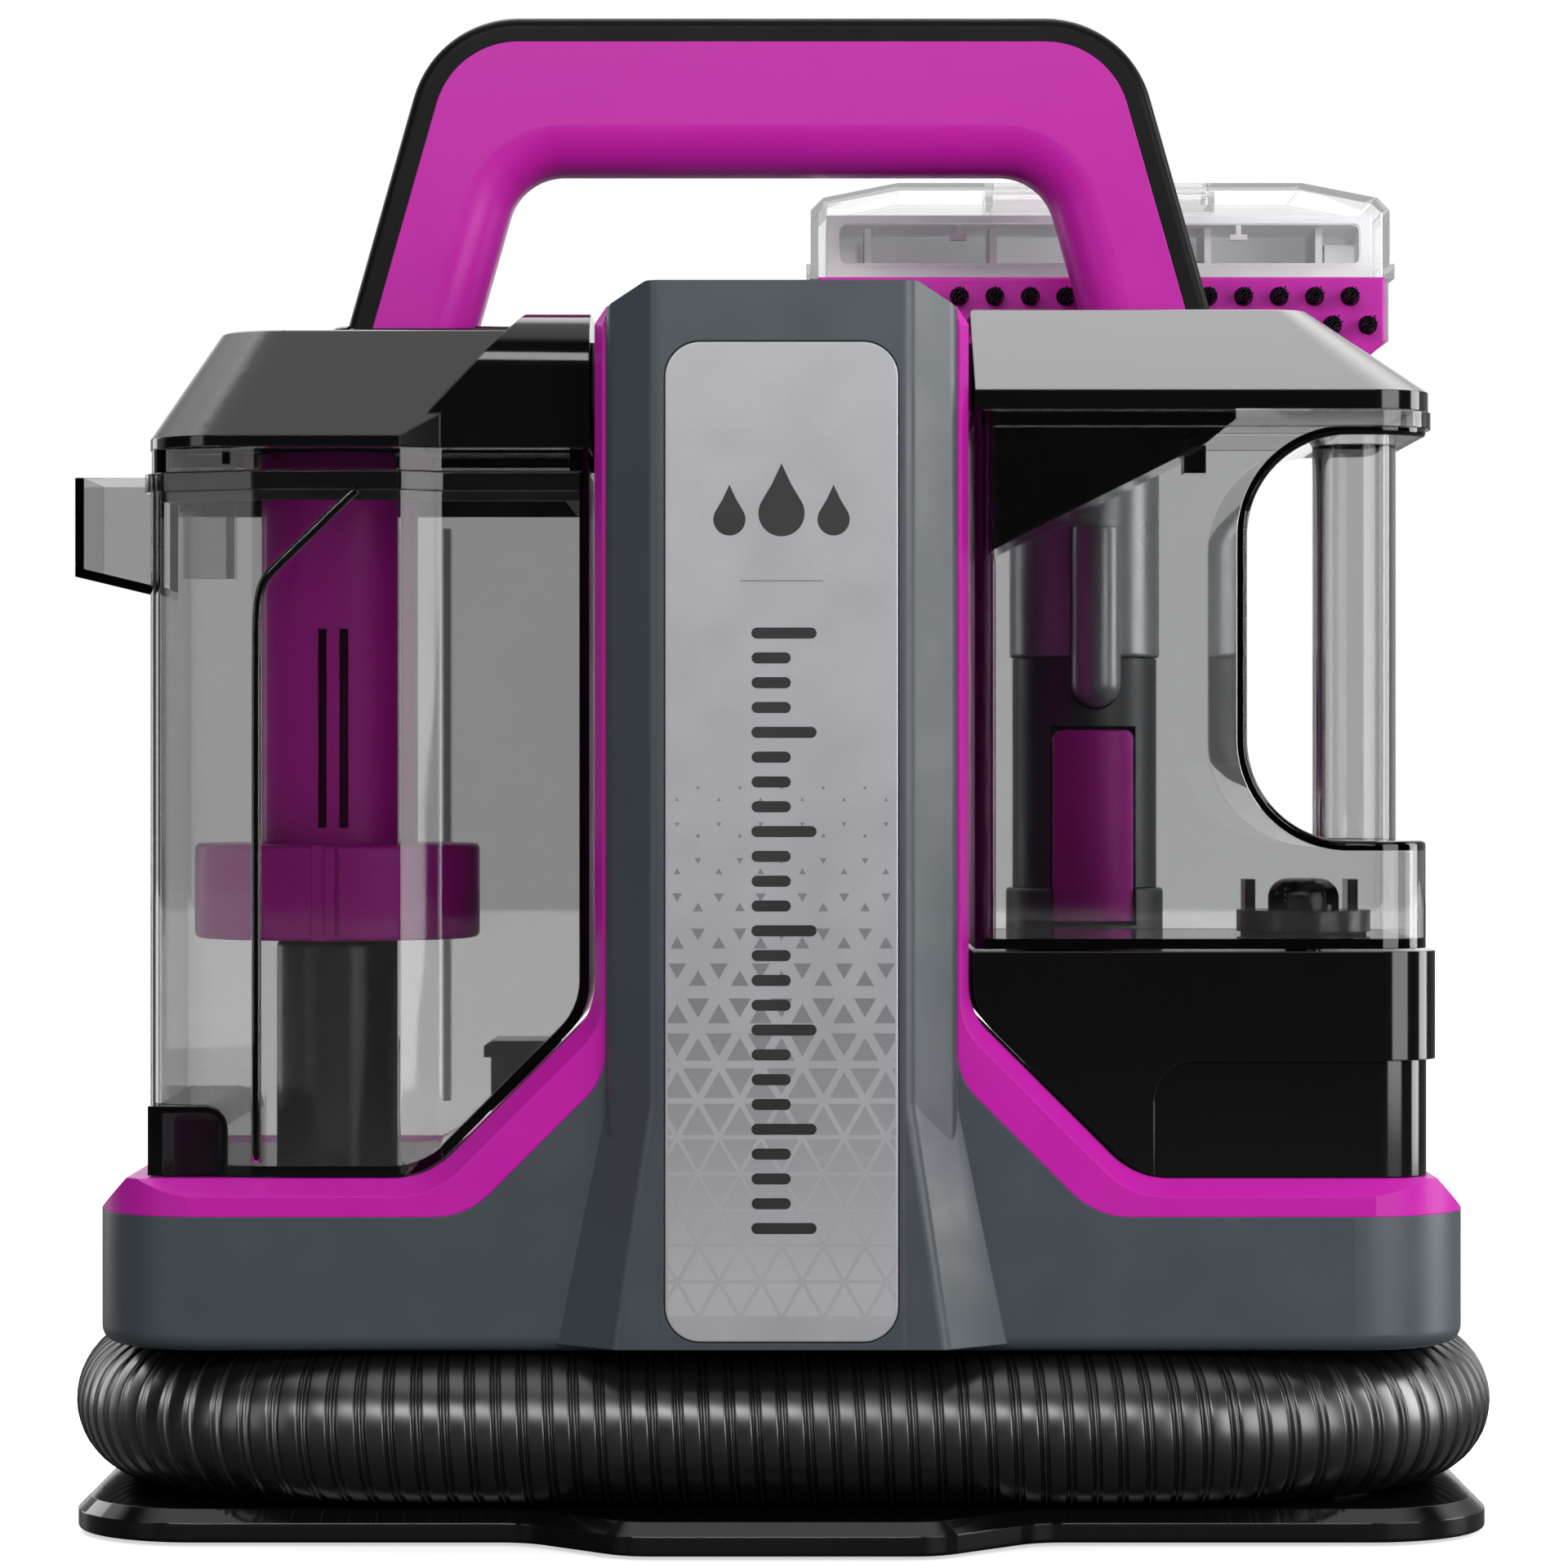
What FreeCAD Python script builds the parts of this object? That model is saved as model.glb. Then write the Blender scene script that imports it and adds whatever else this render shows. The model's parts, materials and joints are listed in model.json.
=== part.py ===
"""Portable carpet and upholstery spot cleaner, as an assembly of separate solids, in millimetres.

+X is the machine's right, -Y its front and +Z up. The origin is on the floor, under the middle of the feet.
A grey column stands on a wide grey tub. The dirty water tank sits on the left, the clean water tank on the
right over the motor housing. The hose winds once round the channel between the tub and the base plate, and
the cleaning tool stands in its dock behind the clean water tank.
"""

import math
import os

import FreeCAD
import Part

os.makedirs("parts", exist_ok=True)
V = FreeCAD.Vector

# ---------------------------------------------------------------- driving dimensions
WALL = 2.5  # moulded housings
TANK_WALL = 2.4
FIT = 0.3  # gap round a piece that is let into another
FLOOR = 1.0  # underside of the base plate: the feet stand this proud

PLATE_HALF, PLATE_FRONT, PLATE_REAR, PLATE_TOP = 176.5, -90.0, 108.0, 9.0
PLATE_LOBE = -112.0  # the plate's tongue under the column's nose
TUB_HALF, TUB_FRONT, TUB_REAR = 170.0, -92.0, 68.0
TUB_BOTTOM, TUB_TOP = 48.0, 81.0
DECK = 90.0  # top of the trim, where the tanks stand
COLUMN_HALF, COLUMN_NOSE, COLUMN_SIDE, COLUMN_REAR = 43.0, -105.0, -94.0, 66.0
COLUMN_TOP = 309.0
TRIM_HALF = 46.0
SPLIT_Y = 0.0  # front shell meets rear shell

TANK_X0 = 47.6  # tank wall beside the column
TANK_X1 = 160.2
HOUSING_X1 = 162.4
TANK_FRONT, TANK_REAR = -85.0, 4.0
DIRTY_X1, DIRTY_TOP = 157.4, 264.0
HOUSING_TOP = 145.8
CLEAN_BOTTOM, CLEAN_TOP = 146.4, 279.0

HANDLE_Y0, HANDLE_Y1 = 9.5, 38.5
HANDLE_TOP = 390.4
BRIDGE_BOTTOM, BRIDGE_TOP = 286.0, 308.5

HOSE_R = 18.75
PORT = V(0, 90, 212)  # where the hose leaves the machine, pointing down
TOOL = V(85, 90, 138)  # where the hose enters the tool, pointing up
ELBOW_Z = 242.0  # the port's neck through the column's back
MOTOR = V(123, 18, 0)
MOTOR_R = 29.5
VALVE = V(133, -40, 0)
TUBE = V(-113, -40, 0)  # dirty water inlet tube
INLET_Y, VACUUM_Y, LID_PORT_Z = -14.0, -56.0, 283.0
BUTTON_Y = -52.0
WATER_TUBE_R = 3.0

# The hose's route from the port, down the back, once round the channel and up to the tool.
HOSE_Z = 28.5
HOSE_ROUTE = [
    V(0, 90, 212),
    V(0, 90, 153),
    V(-2, 90, 92),
    V(-18, 89.5, 51),
    V(-56, 88.5, 29.5),
    V(-124, 87, HOSE_Z),
    V(-165, 48, HOSE_Z),
    V(-165, -44, HOSE_Z),
    V(-126, -83, HOSE_Z),
    V(-42, -84.4, HOSE_Z),
    V(42, -84.4, HOSE_Z),
    V(126, -83, HOSE_Z),
    V(165, -44, HOSE_Z),
    V(165, 26, HOSE_Z),
    V(156, 79, 29.5),
    V(124, 105, 43),
    V(98, 101, 76),
    V(85, 90, 106),
    V(85, 90, 138),
]


# ---------------------------------------------------------------- shape helpers
def loop(points, radii, at):
    """A closed wire through flat (u, v) points, with rounded corners; at() places a point in space."""
    count = len(points)
    radii = radii if hasattr(radii, "__len__") else [radii] * count
    corners = []
    for i, (u, v) in enumerate(points):
        here = V(u, v, 0)
        back = (V(*points[i - 1], 0) - here).normalize()
        ahead = (V(*points[(i + 1) % count], 0) - here).normalize()
        if radii[i] <= 0:
            corners.append((here, None, here))
            continue
        half = back.getAngle(ahead) / 2
        reach = radii[i] / math.tan(half)
        centre = here + (back + ahead).normalize() * (radii[i] / math.sin(half))
        middle = centre + (here - centre).normalize() * radii[i]
        corners.append((here + back * reach, middle, here + ahead * reach))
    edges = []
    for i, (start, middle, end) in enumerate(corners):
        if middle is not None:
            edges.append(Part.Arc(at(start), at(middle), at(end)).toShape())
        following = corners[(i + 1) % count][0]
        if (following - end).Length > 1e-6:
            edges.append(Part.LineSegment(at(end), at(following)).toShape())
    return Part.Wire(edges)


def prism_xy(points, z0, z1, radii=0):
    wire = loop(points, radii, lambda p: V(p.x, p.y, z0))
    return Part.Face(wire).extrude(V(0, 0, z1 - z0))


def prism_xz(points, y0, y1, radii=0):
    wire = loop(points, radii, lambda p: V(p.x, y0, p.y))
    return Part.Face(wire).extrude(V(0, y1 - y0, 0))


def prism_yz(points, x0, x1, radii=0):
    wire = loop(points, radii, lambda p: V(x0, p.x, p.y))
    return Part.Face(wire).extrude(V(x1 - x0, 0, 0))


def box(x0, x1, y0, y1, z0, z1):
    return Part.makeBox(x1 - x0, y1 - y0, z1 - z0, V(x0, y0, z0))


def rounded_box(x0, x1, y0, y1, z0, z1, radii):
    return prism_xy([(x0, y0), (x1, y0), (x1, y1), (x0, y1)], z0, z1, radii)


def post(x, y, z0, z1, r):
    """An upright cylinder."""
    return Part.makeCylinder(r, z1 - z0, V(x, y, z0))


def rod(start, end, r):
    return Part.makeCylinder(r, (end - start).Length, start, end - start)


def bent_rod(points, r):
    """Straight runs of one radius with a ball at each bend."""
    runs = [rod(a, b, r) for a, b in zip(points, points[1:])]
    balls = [Part.makeSphere(r, p) for p in points[1:-1]]
    return joined(runs + balls)


def joined(shapes):
    if len(shapes) == 1:
        return shapes[0]
    return shapes[0].multiFuse(shapes[1:]).removeSplitter()


def mirrored(points):
    return [(-x, z) for x, z in points]


def rounded_edges(shape, radius, wanted):
    """Fillets the edges that wanted(edge) picks."""
    return shape.makeFillet(radius, [e for e in shape.Edges if wanted(e)])


def level(z):
    """Picks the edges that lie flat at height z."""
    return lambda e: all(abs(v.Z - z) < 1e-4 for v in e.Vertexes) and abs(e.BoundBox.ZLength) < 1e-4


def at_depth(y):
    """Picks the edges that lie in the plane at depth y."""
    return lambda e: abs(e.BoundBox.YMin - y) < 1e-4 and abs(e.BoundBox.YMax - y) < 1e-4


def save(name, shape):
    solids = shape.Solids
    if not solids or not shape.isValid():
        raise ValueError(f"{name} isn't a valid solid")
    kept = solids[0] if len(solids) == 1 else Part.makeCompound(solids)
    kept.exportStep(f"parts/{name}.step")
    box_ = kept.BoundBox
    print(f"{name:22s} solids {len(solids):3d}  x {box_.XMin:7.1f} {box_.XMax:7.1f}  y {box_.YMin:7.1f}"
          f" {box_.YMax:7.1f}  z {box_.ZMin:6.1f} {box_.ZMax:6.1f}  cm3 {kept.Volume / 1000:7.1f}")


# ---------------------------------------------------------------- outlines shared by several pieces
TUB_CORNERS = [30, 30, 42, 42]
# Where the grey column flares into the tub, as (x, z) on the right side.
GUSSET = [(100, 60), (100, TUB_TOP), (77, TUB_TOP), (COLUMN_HALF, 115), (COLUMN_HALF, 150)]
GUSSET_RADII = [0, 0, 20, 16, 0]
# The trim's outer line on the right side, down the column, out along the slope and over the deck.
SLOPE = 177.0  # on the trim's sloping face x + z is this
TRIM = [(TUB_HALF, TUB_TOP), (161.5, DECK), (SLOPE - DECK, DECK), (TRIM_HALF, SLOPE - TRIM_HALF),
        (TRIM_HALF, 300), (43, 304.5), (30, 304.5), (30, TUB_TOP)]
TRIM_BEVEL = [(166, TUB_TOP), (159.5, 86), (85.3, 86), (43.9, 127.4), (43.9, 299), (42.5, 303), (30, 303),
              (30, TUB_TOP)]
TRIM_INSIDE = [(166, TUB_TOP - 1), (160, DECK - WALL), (86, DECK - WALL), (48, 125.5), (40, 125.5),
               (40, TUB_TOP - 1)]
TRIM_RADII = [0, 0, 20, 16, 0, 0, 0, 0]


def tub(inset):
    x, front, rear = TUB_HALF - inset, TUB_FRONT + inset, TUB_REAR - inset
    radii = [r - inset for r in TUB_CORNERS]
    return rounded_box(-x, x, front, rear, TUB_BOTTOM + inset, TUB_TOP - inset, radii)


def column(inset):
    half, side, nose = COLUMN_HALF - inset, COLUMN_SIDE + inset * 0.6, COLUMN_NOSE + inset
    rear, top = COLUMN_REAR - inset, COLUMN_TOP - inset
    plan = [(-half, rear), (-half, side), (-31, nose), (31, nose), (half, side), (half, rear)]
    low, brow = TUB_BOTTOM + 2 + inset, top - 5.5
    face = [(-half, low), (-half, brow), (-33, top), (33, top), (half, brow), (half, low)]
    body = prism_xy(plan, TUB_BOTTOM + inset, top, [0, 6, 5, 5, 6, 0])
    body = body.common(prism_xz(face, COLUMN_NOSE - 1, COLUMN_REAR + 1, [0, 3, 3, 3, 3, 0]))
    return body.cut(rear_bevel(inset))


def rear_bevel(inset):
    """The slope that takes the column's top down at the back, clear of the tool's brush."""
    y, z = 55 - inset, COLUMN_TOP + 1
    return prism_yz([(y, z), (y + 40, z), (y + 40, z - 40)], -80, 80)


def nose_flare():
    """The foot of the column spreads where it meets the tub."""
    low = loop([(-56, -91), (-40, -104.9), (40, -104.9), (56, -91)], 0, lambda p: V(p.x, p.y, TUB_BOTTOM + 2))
    high = loop([(-43, -91), (-31, -104.9), (31, -104.9), (43, -91)], 0, lambda p: V(p.x, p.y, 112))
    flare = Part.makeLoft([low, high], True, True)
    slanted = [e for e in flare.Edges if e.BoundBox.ZLength > 50 and e.BoundBox.YMin < -104]
    return flare.makeFillet(4, slanted)


def gusset(inset):
    right = [(x - (inset if x < 100 else 0), z - (inset if z > 60 else 0)) for x, z in GUSSET]
    points = right + mirrored(right)[::-1]
    radii = GUSSET_RADII + GUSSET_RADII[::-1]
    return prism_xz(points, TUB_FRONT + inset, COLUMN_REAR - inset, radii)


def hull():
    """The grey housing's outside, as one solid."""
    foot = rounded_edges(tub(0), 4, level(TUB_BOTTOM))
    return joined([foot, column(0), gusset(0), nose_flare()])


def dirty_plan(inset):
    """The dirty water tank seen from above: a shallow facetted front, and a step back beside the column."""
    points = [(-TANK_X0, TANK_REAR), (-DIRTY_X1, TANK_REAR), (-DIRTY_X1, -73), (-129, TANK_FRONT),
              (-93.8, TANK_FRONT), (-84, -79), (-TANK_X0, -79)]
    face = Part.Face(loop(points, [3, 9, 8, 10, 2, 2, 2], lambda p: V(p.x, p.y, 0)))
    if inset:
        face = Part.Face(face.OuterWire.makeOffset2D(-inset))
    return face


def dirty_prism(inset, z0, z1):
    face = dirty_plan(inset)
    face.translate(V(0, 0, z0))
    return face.extrude(V(0, 0, z1 - z0))


def clean_block(inset, z0, z1, grow=0.0):
    radii = [3, 14 - inset + grow, 14 - inset + grow, 3]
    return rounded_box(TANK_X0 + inset - grow / 3, TANK_X1 - inset + grow, TANK_FRONT + inset - grow,
                       TANK_REAR - inset + grow, z0, z1, radii)


# ---------------------------------------------------------------- base
def base_plate():
    half, front, rear = PLATE_HALF, PLATE_FRONT, PLATE_REAR
    outline = [(-half, front), (-63, front), (-38, PLATE_LOBE), (38, PLATE_LOBE), (63, front), (half, front),
               (half, rear), (-half, rear)]
    radii = [32, 16, 16, 16, 16, 32, 48, 48]
    plate = prism_xy(outline, FLOOR, PLATE_TOP, radii)
    plate = plate.makeChamfer(3.2, [e for e in plate.Edges if level(PLATE_TOP)(e)])
    plate = rounded_edges(plate, 1, level(FLOOR))
    for x, y in FEET:
        plate = plate.cut(post(x, y, FLOOR - 1, FLOOR + 2, FOOT_R + FIT))
    return plate


FEET = [(-140, -58), (140, -58), (-130, 72), (130, 72)]
FOOT_R = 10.0


def feet():
    pads = [rounded_edges(post(x, y, 0, FLOOR + 2, FOOT_R), 0.8, level(0)) for x, y in FEET]
    return Part.makeCompound(pads)


def hose_drum():
    """The wall that the hose winds round, between the base plate and the tub."""
    corners = [42, 42, 42, 42]
    outer = rounded_box(-143, 143, -61, 66, PLATE_TOP, TUB_BOTTOM, corners)
    inner = rounded_box(-140, 140, -58, 63, PLATE_TOP - 1, TUB_BOTTOM + 1, [39] * 4)
    return outer.cut(inner)


# ---------------------------------------------------------------- grey shells
LABEL_HALF, LABEL_Z0, LABEL_Z1, LABEL_R = 28.2, 52.0, 294.0, 8.5


def label_block(grow, y0, y1):
    x, z0, z1 = LABEL_HALF + grow, LABEL_Z0 - grow, LABEL_Z1 + grow
    return prism_xz([(-x, z0), (x, z0), (x, z1), (-x, z1)], y0, y1, LABEL_R + grow)


def motor_opening():
    return post(MOTOR.x, MOTOR.y, TUB_TOP - WALL - 1, 112, MOTOR_R + 1)


def water_hole():
    """Where the feed tube comes down from the clean water valve."""
    return post(VALVE.x, VALVE.y, TUB_TOP - WALL - 1, DECK + 1, WATER_TUBE_R + 0.4)


def duct_holes(r):
    """Ways through the column's left side for the two lid ports, and through its back for the hose port."""
    holes = [rod(V(-50, y, LID_PORT_Z), V(-30, y, LID_PORT_Z), r) for y in (INLET_Y, VACUUM_Y)]
    return holes + [rod(V(0, 55, ELBOW_Z), V(0, 75, ELBOW_Z), r)]


SCREWS = [(x, z) for x in (-34, 34) for z in (120, 205, 272)]


def grey_shells():
    whole = hull()
    hollow = joined([tub(WALL), column(WALL), gusset(WALL)])
    shell = whole.cut(hollow)
    shell = shell.cut(label_block(FIT, COLUMN_NOSE - 1, COLUMN_NOSE + 1.7))
    for space in [motor_opening(), water_hole(), bridge_space(), *duct_holes(13.2)]:
        shell = shell.cut(space)
    shell = shell.cut(rounded_box(-24.3, 24.3, -72.3, -11.7, COLUMN_TOP - 1.6, COLUMN_TOP + 1, 6))
    shell = shell.cut(rounded_box(-20, 20, -68, -16, COLUMN_TOP - 5, COLUMN_TOP + 1, 4))
    for x, z in SCREWS:
        shell = shell.cut(rod(V(x, 58, z), V(x, 70, z), 1.7))
    shell = shell.cut(rod(V(GLAND.x, 60, GLAND.z), V(GLAND.x, 72, GLAND.z), 6.2))
    for x in (-10, 10, -25, 25):
        shell = shell.cut(post(x, 20, TUB_BOTTOM - 1, TUB_BOTTOM + WALL + 1, 1.7))
    front = shell.common(box(-200, 200, -200, SPLIT_Y - 0.1, 0, 400))
    rear = shell.common(box(-200, 200, SPLIT_Y + 0.1, 200, 0, 400))
    return front, rear


GLAND = V(-118, 66, 64)


def trim(side):
    """The coloured band on one side, 1 right or -1 left: deck, slope and column edge, bevelled in front."""
    turn = (lambda p: p) if side > 0 else mirrored
    back_y, bevel_y = TUB_FRONT + 6.5, TUB_FRONT + 0.5
    rear = prism_xz(turn(TRIM), back_y, COLUMN_REAR, TRIM_RADII)
    wires = [loop(turn(line), TRIM_RADII, lambda p, y=y: V(p.x, y, p.y))
             for line, y in ((TRIM_BEVEL, bevel_y), (TRIM, back_y))]
    front = Part.makeLoft(wires, True, True)
    band = joined([rear, front]).cut(hull())
    limit = rounded_box(-TUB_HALF, TUB_HALF, TUB_FRONT, TUB_REAR, TUB_TOP, 320, TUB_CORNERS)
    room = rounded_box(-167, 167, TUB_FRONT + 10, COLUMN_REAR - 6, 70, 130, [20, 20, 34, 34])
    room = room.common(prism_xz(turn(TRIM_INSIDE), -100, 100))
    band = band.common(limit).cut(room)
    for hole in duct_holes(13.2)[:2] if side < 0 else [motor_opening(), water_hole()]:
        band = band.cut(hole)
    return band.cut(bridge_space()).cut(rear_bevel(0))


def label_panel():
    panel = label_block(0, COLUMN_NOSE - 0.5, COLUMN_NOSE + 1.6)
    return rounded_edges(panel, 0.4, at_depth(COLUMN_NOSE - 0.5))


# ---------------------------------------------------------------- top controls
def top_panel():
    panel = rounded_box(-24, 24, -72, -12, COLUMN_TOP - 1.5, COLUMN_TOP + 0.8, 6)
    panel = rounded_edges(panel, 0.5, level(COLUMN_TOP + 0.8))
    return panel.cut(post(0, BUTTON_Y, 300, 320, 10.3))


def power_button():
    cap = rounded_edges(post(0, BUTTON_Y, COLUMN_TOP - 3.8, COLUMN_TOP + 3, 10), 1, level(COLUMN_TOP + 3))
    return cap.cut(post(0, BUTTON_Y, COLUMN_TOP - 5, COLUMN_TOP + 1.2, 8.4)).fuse(
        post(0, BUTTON_Y, COLUMN_TOP - 4.9, COLUMN_TOP + 2, 2.2)).removeSplitter()


def power_switch():
    body = box(-9, 9, BUTTON_Y - 9, BUTTON_Y + 9, 295.4, 300.4)
    return body.fuse(post(0, BUTTON_Y, 300, 301.8, 2.6)).removeSplitter()


def control_board():
    board = box(-16, 16, -41, -24, 298, 299.6)
    chips = [box(-12, -4, -38, -30, 299.6, 302), box(2, 12, -36, -28, 299.6, 303)]
    return joined([board, *chips])


# ---------------------------------------------------------------- carry handle
def handle_arch(thick):
    """The handle's outer outline moved in by thick, as a solid between its front and back faces."""
    lean = 26.2 / (HANDLE_TOP - 298)  # sideways run of each leg per unit of height
    shift = thick * math.hypot(1, lean)
    foot, head = 118.0 - shift, 118.0 - shift - lean * (HANDLE_TOP - thick - 298)
    points = [(-foot, 298), (-head, HANDLE_TOP - thick), (head, HANDLE_TOP - thick), (foot, 298)]
    return prism_xz(points, HANDLE_Y0, HANDLE_Y1, [0, 29 - thick, 29 - thick, 0])


def hand_gap():
    points = [(-84.3, 298), (-69.6, 349.7), (69.6, 349.7), (84.3, 298)]
    return prism_xz(points, HANDLE_Y0 - 1, HANDLE_Y1 + 1, [0, 15, 15, 0])


SPINE = 6.5


def handle_spine():
    return rounded_edges(handle_arch(0), 3, on_handle_face).cut(handle_arch(SPINE))


def on_handle_face(edge):
    """Whether the edge runs along the arch on its front or back face."""
    flat = at_depth(HANDLE_Y0)(edge) or at_depth(HANDLE_Y1)(edge)
    return flat and not level(298)(edge)


def handle_grip():
    block = handle_arch(SPINE).cut(hand_gap())
    inside = hand_gap()

    def on_gap(edge):
        middle = edge.valueAt((edge.FirstParameter + edge.LastParameter) / 2)
        return on_handle_face(edge) and inside.distToShape(Part.Vertex(middle))[0] < 0.05

    return rounded_edges(block, 12, on_gap)


def bridge_space():
    return box(-60, 60, 9.8, 62.2, BRIDGE_BOTTOM - 0.2, 304.2)


def handle_bridge():
    """The crossbar that carries the handle, through the column behind the tanks."""
    wings = rounded_box(-120, 120, 9, 62, BRIDGE_BOTTOM, BRIDGE_TOP, 7)
    wings = rounded_edges(wings, 2, level(BRIDGE_TOP))
    wings = wings.cut(box(-46.4, 46.4, 0, 80, 280, 320))
    bar = box(-60, 60, 10, 62, BRIDGE_BOTTOM, 304)
    bar = bar.cut(box(-50, 50, 12, 60, BRIDGE_BOTTOM + WALL, 310))
    bridge = joined([wings, bar])
    for side in (-1, 1):
        x0, x1 = sorted((side * 55, side * 82))
        bridge = bridge.cut(box(x0, x1, 12, 59, BRIDGE_BOTTOM - 1, BRIDGE_TOP - 3))
        x0, x1 = sorted((side * 82, side * 117.5))
        bridge = bridge.cut(box(x0, x1, 12, 59, BRIDGE_BOTTOM - 1, 295))
    return bridge.cut(handle_arch(0).cut(hand_gap()))


# ---------------------------------------------------------------- dirty water tank
def below_slope(inset, z0):
    """The region left of the trim's slope, seen from the front, moved away from it by inset."""
    edge = SLOPE + inset * math.sqrt(2)
    points = [(-190, z0), (z0 - edge, z0), (-TANK_X0 - inset + 0.8, edge - TANK_X0 - inset + 0.8),
              (-TANK_X0 - inset + 0.8, 300), (-190, 300)]
    return prism_xz(points, -120, 40, [0, 19, 17, 0, 0])


SPOUT_X1, SPOUT_Y0, SPOUT_Y1 = 176.5, -66.0, -26.0


def spout(inset):
    """The pouring lip on the tank's outer side; its underside rises outwards."""
    low = 234.2 + inset
    outer, wall, inner, top = inset - SPOUT_X1, inset - DIRTY_X1, 3 - DIRTY_X1, 263.5
    points = [(outer, low + 4.6), (wall, low), (inner, low), (inner, top), (outer, top)]
    return prism_xz(points, SPOUT_Y0 + inset, SPOUT_Y1 - inset, 0)


def dirty_tank():
    outer = dirty_prism(0, DECK + 0.4, DIRTY_TOP).common(below_slope(0.8, DECK + 0.4))
    rim = dirty_prism(-1.3, DIRTY_TOP - 4.5, DIRTY_TOP).common(box(-200, -TANK_X0, -100, 20, 0, 400))
    inner = dirty_prism(TANK_WALL, DECK, DIRTY_TOP + 5).common(
        below_slope(0.8 + TANK_WALL, DECK + 0.4 + TANK_WALL))
    lip = spout(0)
    body = joined([outer, rim, lip]).cut(inner)
    lip_space = spout(2).fuse(box(-159, -153, SPOUT_Y0 + 2, SPOUT_Y1 - 2, 241, DIRTY_TOP + 5))
    body = body.cut(lip_space).cut(box(2 - SPOUT_X1, -153, SPOUT_Y0 + 2, SPOUT_Y1 - 2, 262, 270))
    wall = box(-155.2, -154, SPOUT_Y0 + 1, SPOUT_Y1 - 1, 258.5, DIRTY_TOP)
    rib = box(-89.2, -86.8, TANK_REAR - TANK_WALL - 6, TANK_REAR - 1, 104, 254)
    body = joined([body, wall, rib, foot_pocket(0)])
    return body.cut(foot_pocket(2))


def foot_pocket(inset):
    """The pocket in the tank's floor that drops over the locating boss; its roof has a rounded inner edge."""
    x0, x1, roof = 1 - DIRTY_X1 + 1.5 * inset, -136.5 - inset, 107.5 - inset
    low = DECK + (0.4 if inset == 0 else -1)
    points = [(x0, low), (x0, roof), (x1, roof), (x1, low)]
    return prism_xz(points, -81.5 + 4 * inset, TANK_REAR - 1 - 4 * inset, [0, 0, 6 - inset, 0])


def dirty_lid_ring():
    """The tinted ring between the tank's rim and its lid, with the guard that shields the spout."""
    top = DIRTY_TOP + 6
    ring = dirty_prism(0.3, DIRTY_TOP + FIT, top).cut(dirty_prism(TANK_WALL + 2.5, DIRTY_TOP - 1, top + 1))
    guard = [box(-148.6, -136, -70, -68, 238, top - 1), box(-138, -136, -70, -62, 238, top - 1)]
    bracket = box(-138, -136, -82, -69, DIRTY_TOP + 2, top - 1)
    return joined([ring, *guard, bracket])


def dirty_lid_gasket():
    """The black lip seal under the ring that plugs the tank's mouth."""
    seal = dirty_prism(TANK_WALL + 0.2, DIRTY_TOP - 6.8, DIRTY_TOP + FIT)
    seal = seal.cut(dirty_prism(TANK_WALL + 3.6, DIRTY_TOP - 10, DIRTY_TOP + 5))
    return seal.cut(box(-157, -152, SPOUT_Y0, SPOUT_Y1, DIRTY_TOP - 10, DIRTY_TOP + FIT))


LID0 = DIRTY_TOP + 6.2  # underside of the dirty water lid


def sloped_cover(z, low, high, inset):
    """A lid with an upright rim and sloping sides, moved in by inset.

    z is the height of its underside, of the rim's top and of its top. low and high are the plans of the rim
    and of the top: x beside the column, outer x, front y, rear y, rear and front corner radius.
    """
    def plan(x0, x1, front, rear, rear_r, front_r):
        x0, x1 = x0 + math.copysign(inset, x1), x1 - math.copysign(inset, x1)
        corners = [(x0, rear - inset), (x1, rear - inset), (x1, front + inset), (x0, front + inset)]
        return corners, [0, rear_r - inset, front_r - inset, 0]

    (low_plan, low_radii), (high_plan, high_radii) = plan(*low), plan(*high)
    wires = [loop(low_plan, low_radii, lambda p: V(p.x, p.y, z[1])),
             loop(high_plan, high_radii, lambda p: V(p.x, p.y, z[2] - inset))]
    return joined([prism_xy(low_plan, z[0], z[1], low_radii), Part.makeLoft(wires, True, True)])


def dirty_lid_wedge(inset):
    low = (-TANK_X0, -DIRTY_X1 - 0.5, -85.5, TANK_REAR, 9, 22)
    high = (-TANK_X0, -142.9, -55, TANK_REAR, 7, 18)
    wedge = sloped_cover((LID0, LID0 + 2.6, 301.5), low, high, inset)
    step = [(-170, -95), (-93.8 - inset, -95), (-93.8 - inset, TANK_FRONT - 0.3), (-84 - inset, -79 + inset),
            (-40, -79 + inset), (-40, 10), (-170, 10)]
    return wedge.common(prism_xy(step, LID0 - 5, 320))


def dirty_lid():
    top, front = 304.4, -79.3
    shoulder = prism_xz([(-96, LID0), (-63.5, top), (-TANK_X0, top), (-TANK_X0, LID0)], front, TANK_REAR)
    shoulder = rounded_edges(shoulder, 14, lambda e: level(top)(e) and at_depth(front)(e))
    wedge = rounded_edges(dirty_lid_wedge(0), 1.2, lambda e: level(301.5)(e))
    lid = joined([wedge, shoulder])
    lid = lid.cut(dirty_lid_wedge(WALL))
    for y in (INLET_Y, VACUUM_Y):
        lid = lid.cut(rod(V(-60, y, LID_PORT_Z), V(-40, y, LID_PORT_Z), 11))
    return lid


def inlet_elbow():
    """Carries the dirty water from the column, across the lid, to the top of the inlet tube."""
    chamber = box(-134, -94, -59, -20, LID0 + 0.2, 291.6)
    channel = box(-95, -50.6, -27, -1.6, LID0 + 2, 291.6)
    hollow = box(-132.4, -95.6, -57.4, -21.6, LID0 - 1, 290)
    way = box(-97, -49, -25.4, -3.2, LID0 + 3.6, 290)
    return joined([chamber, channel]).cut(hollow).cut(way)


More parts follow.
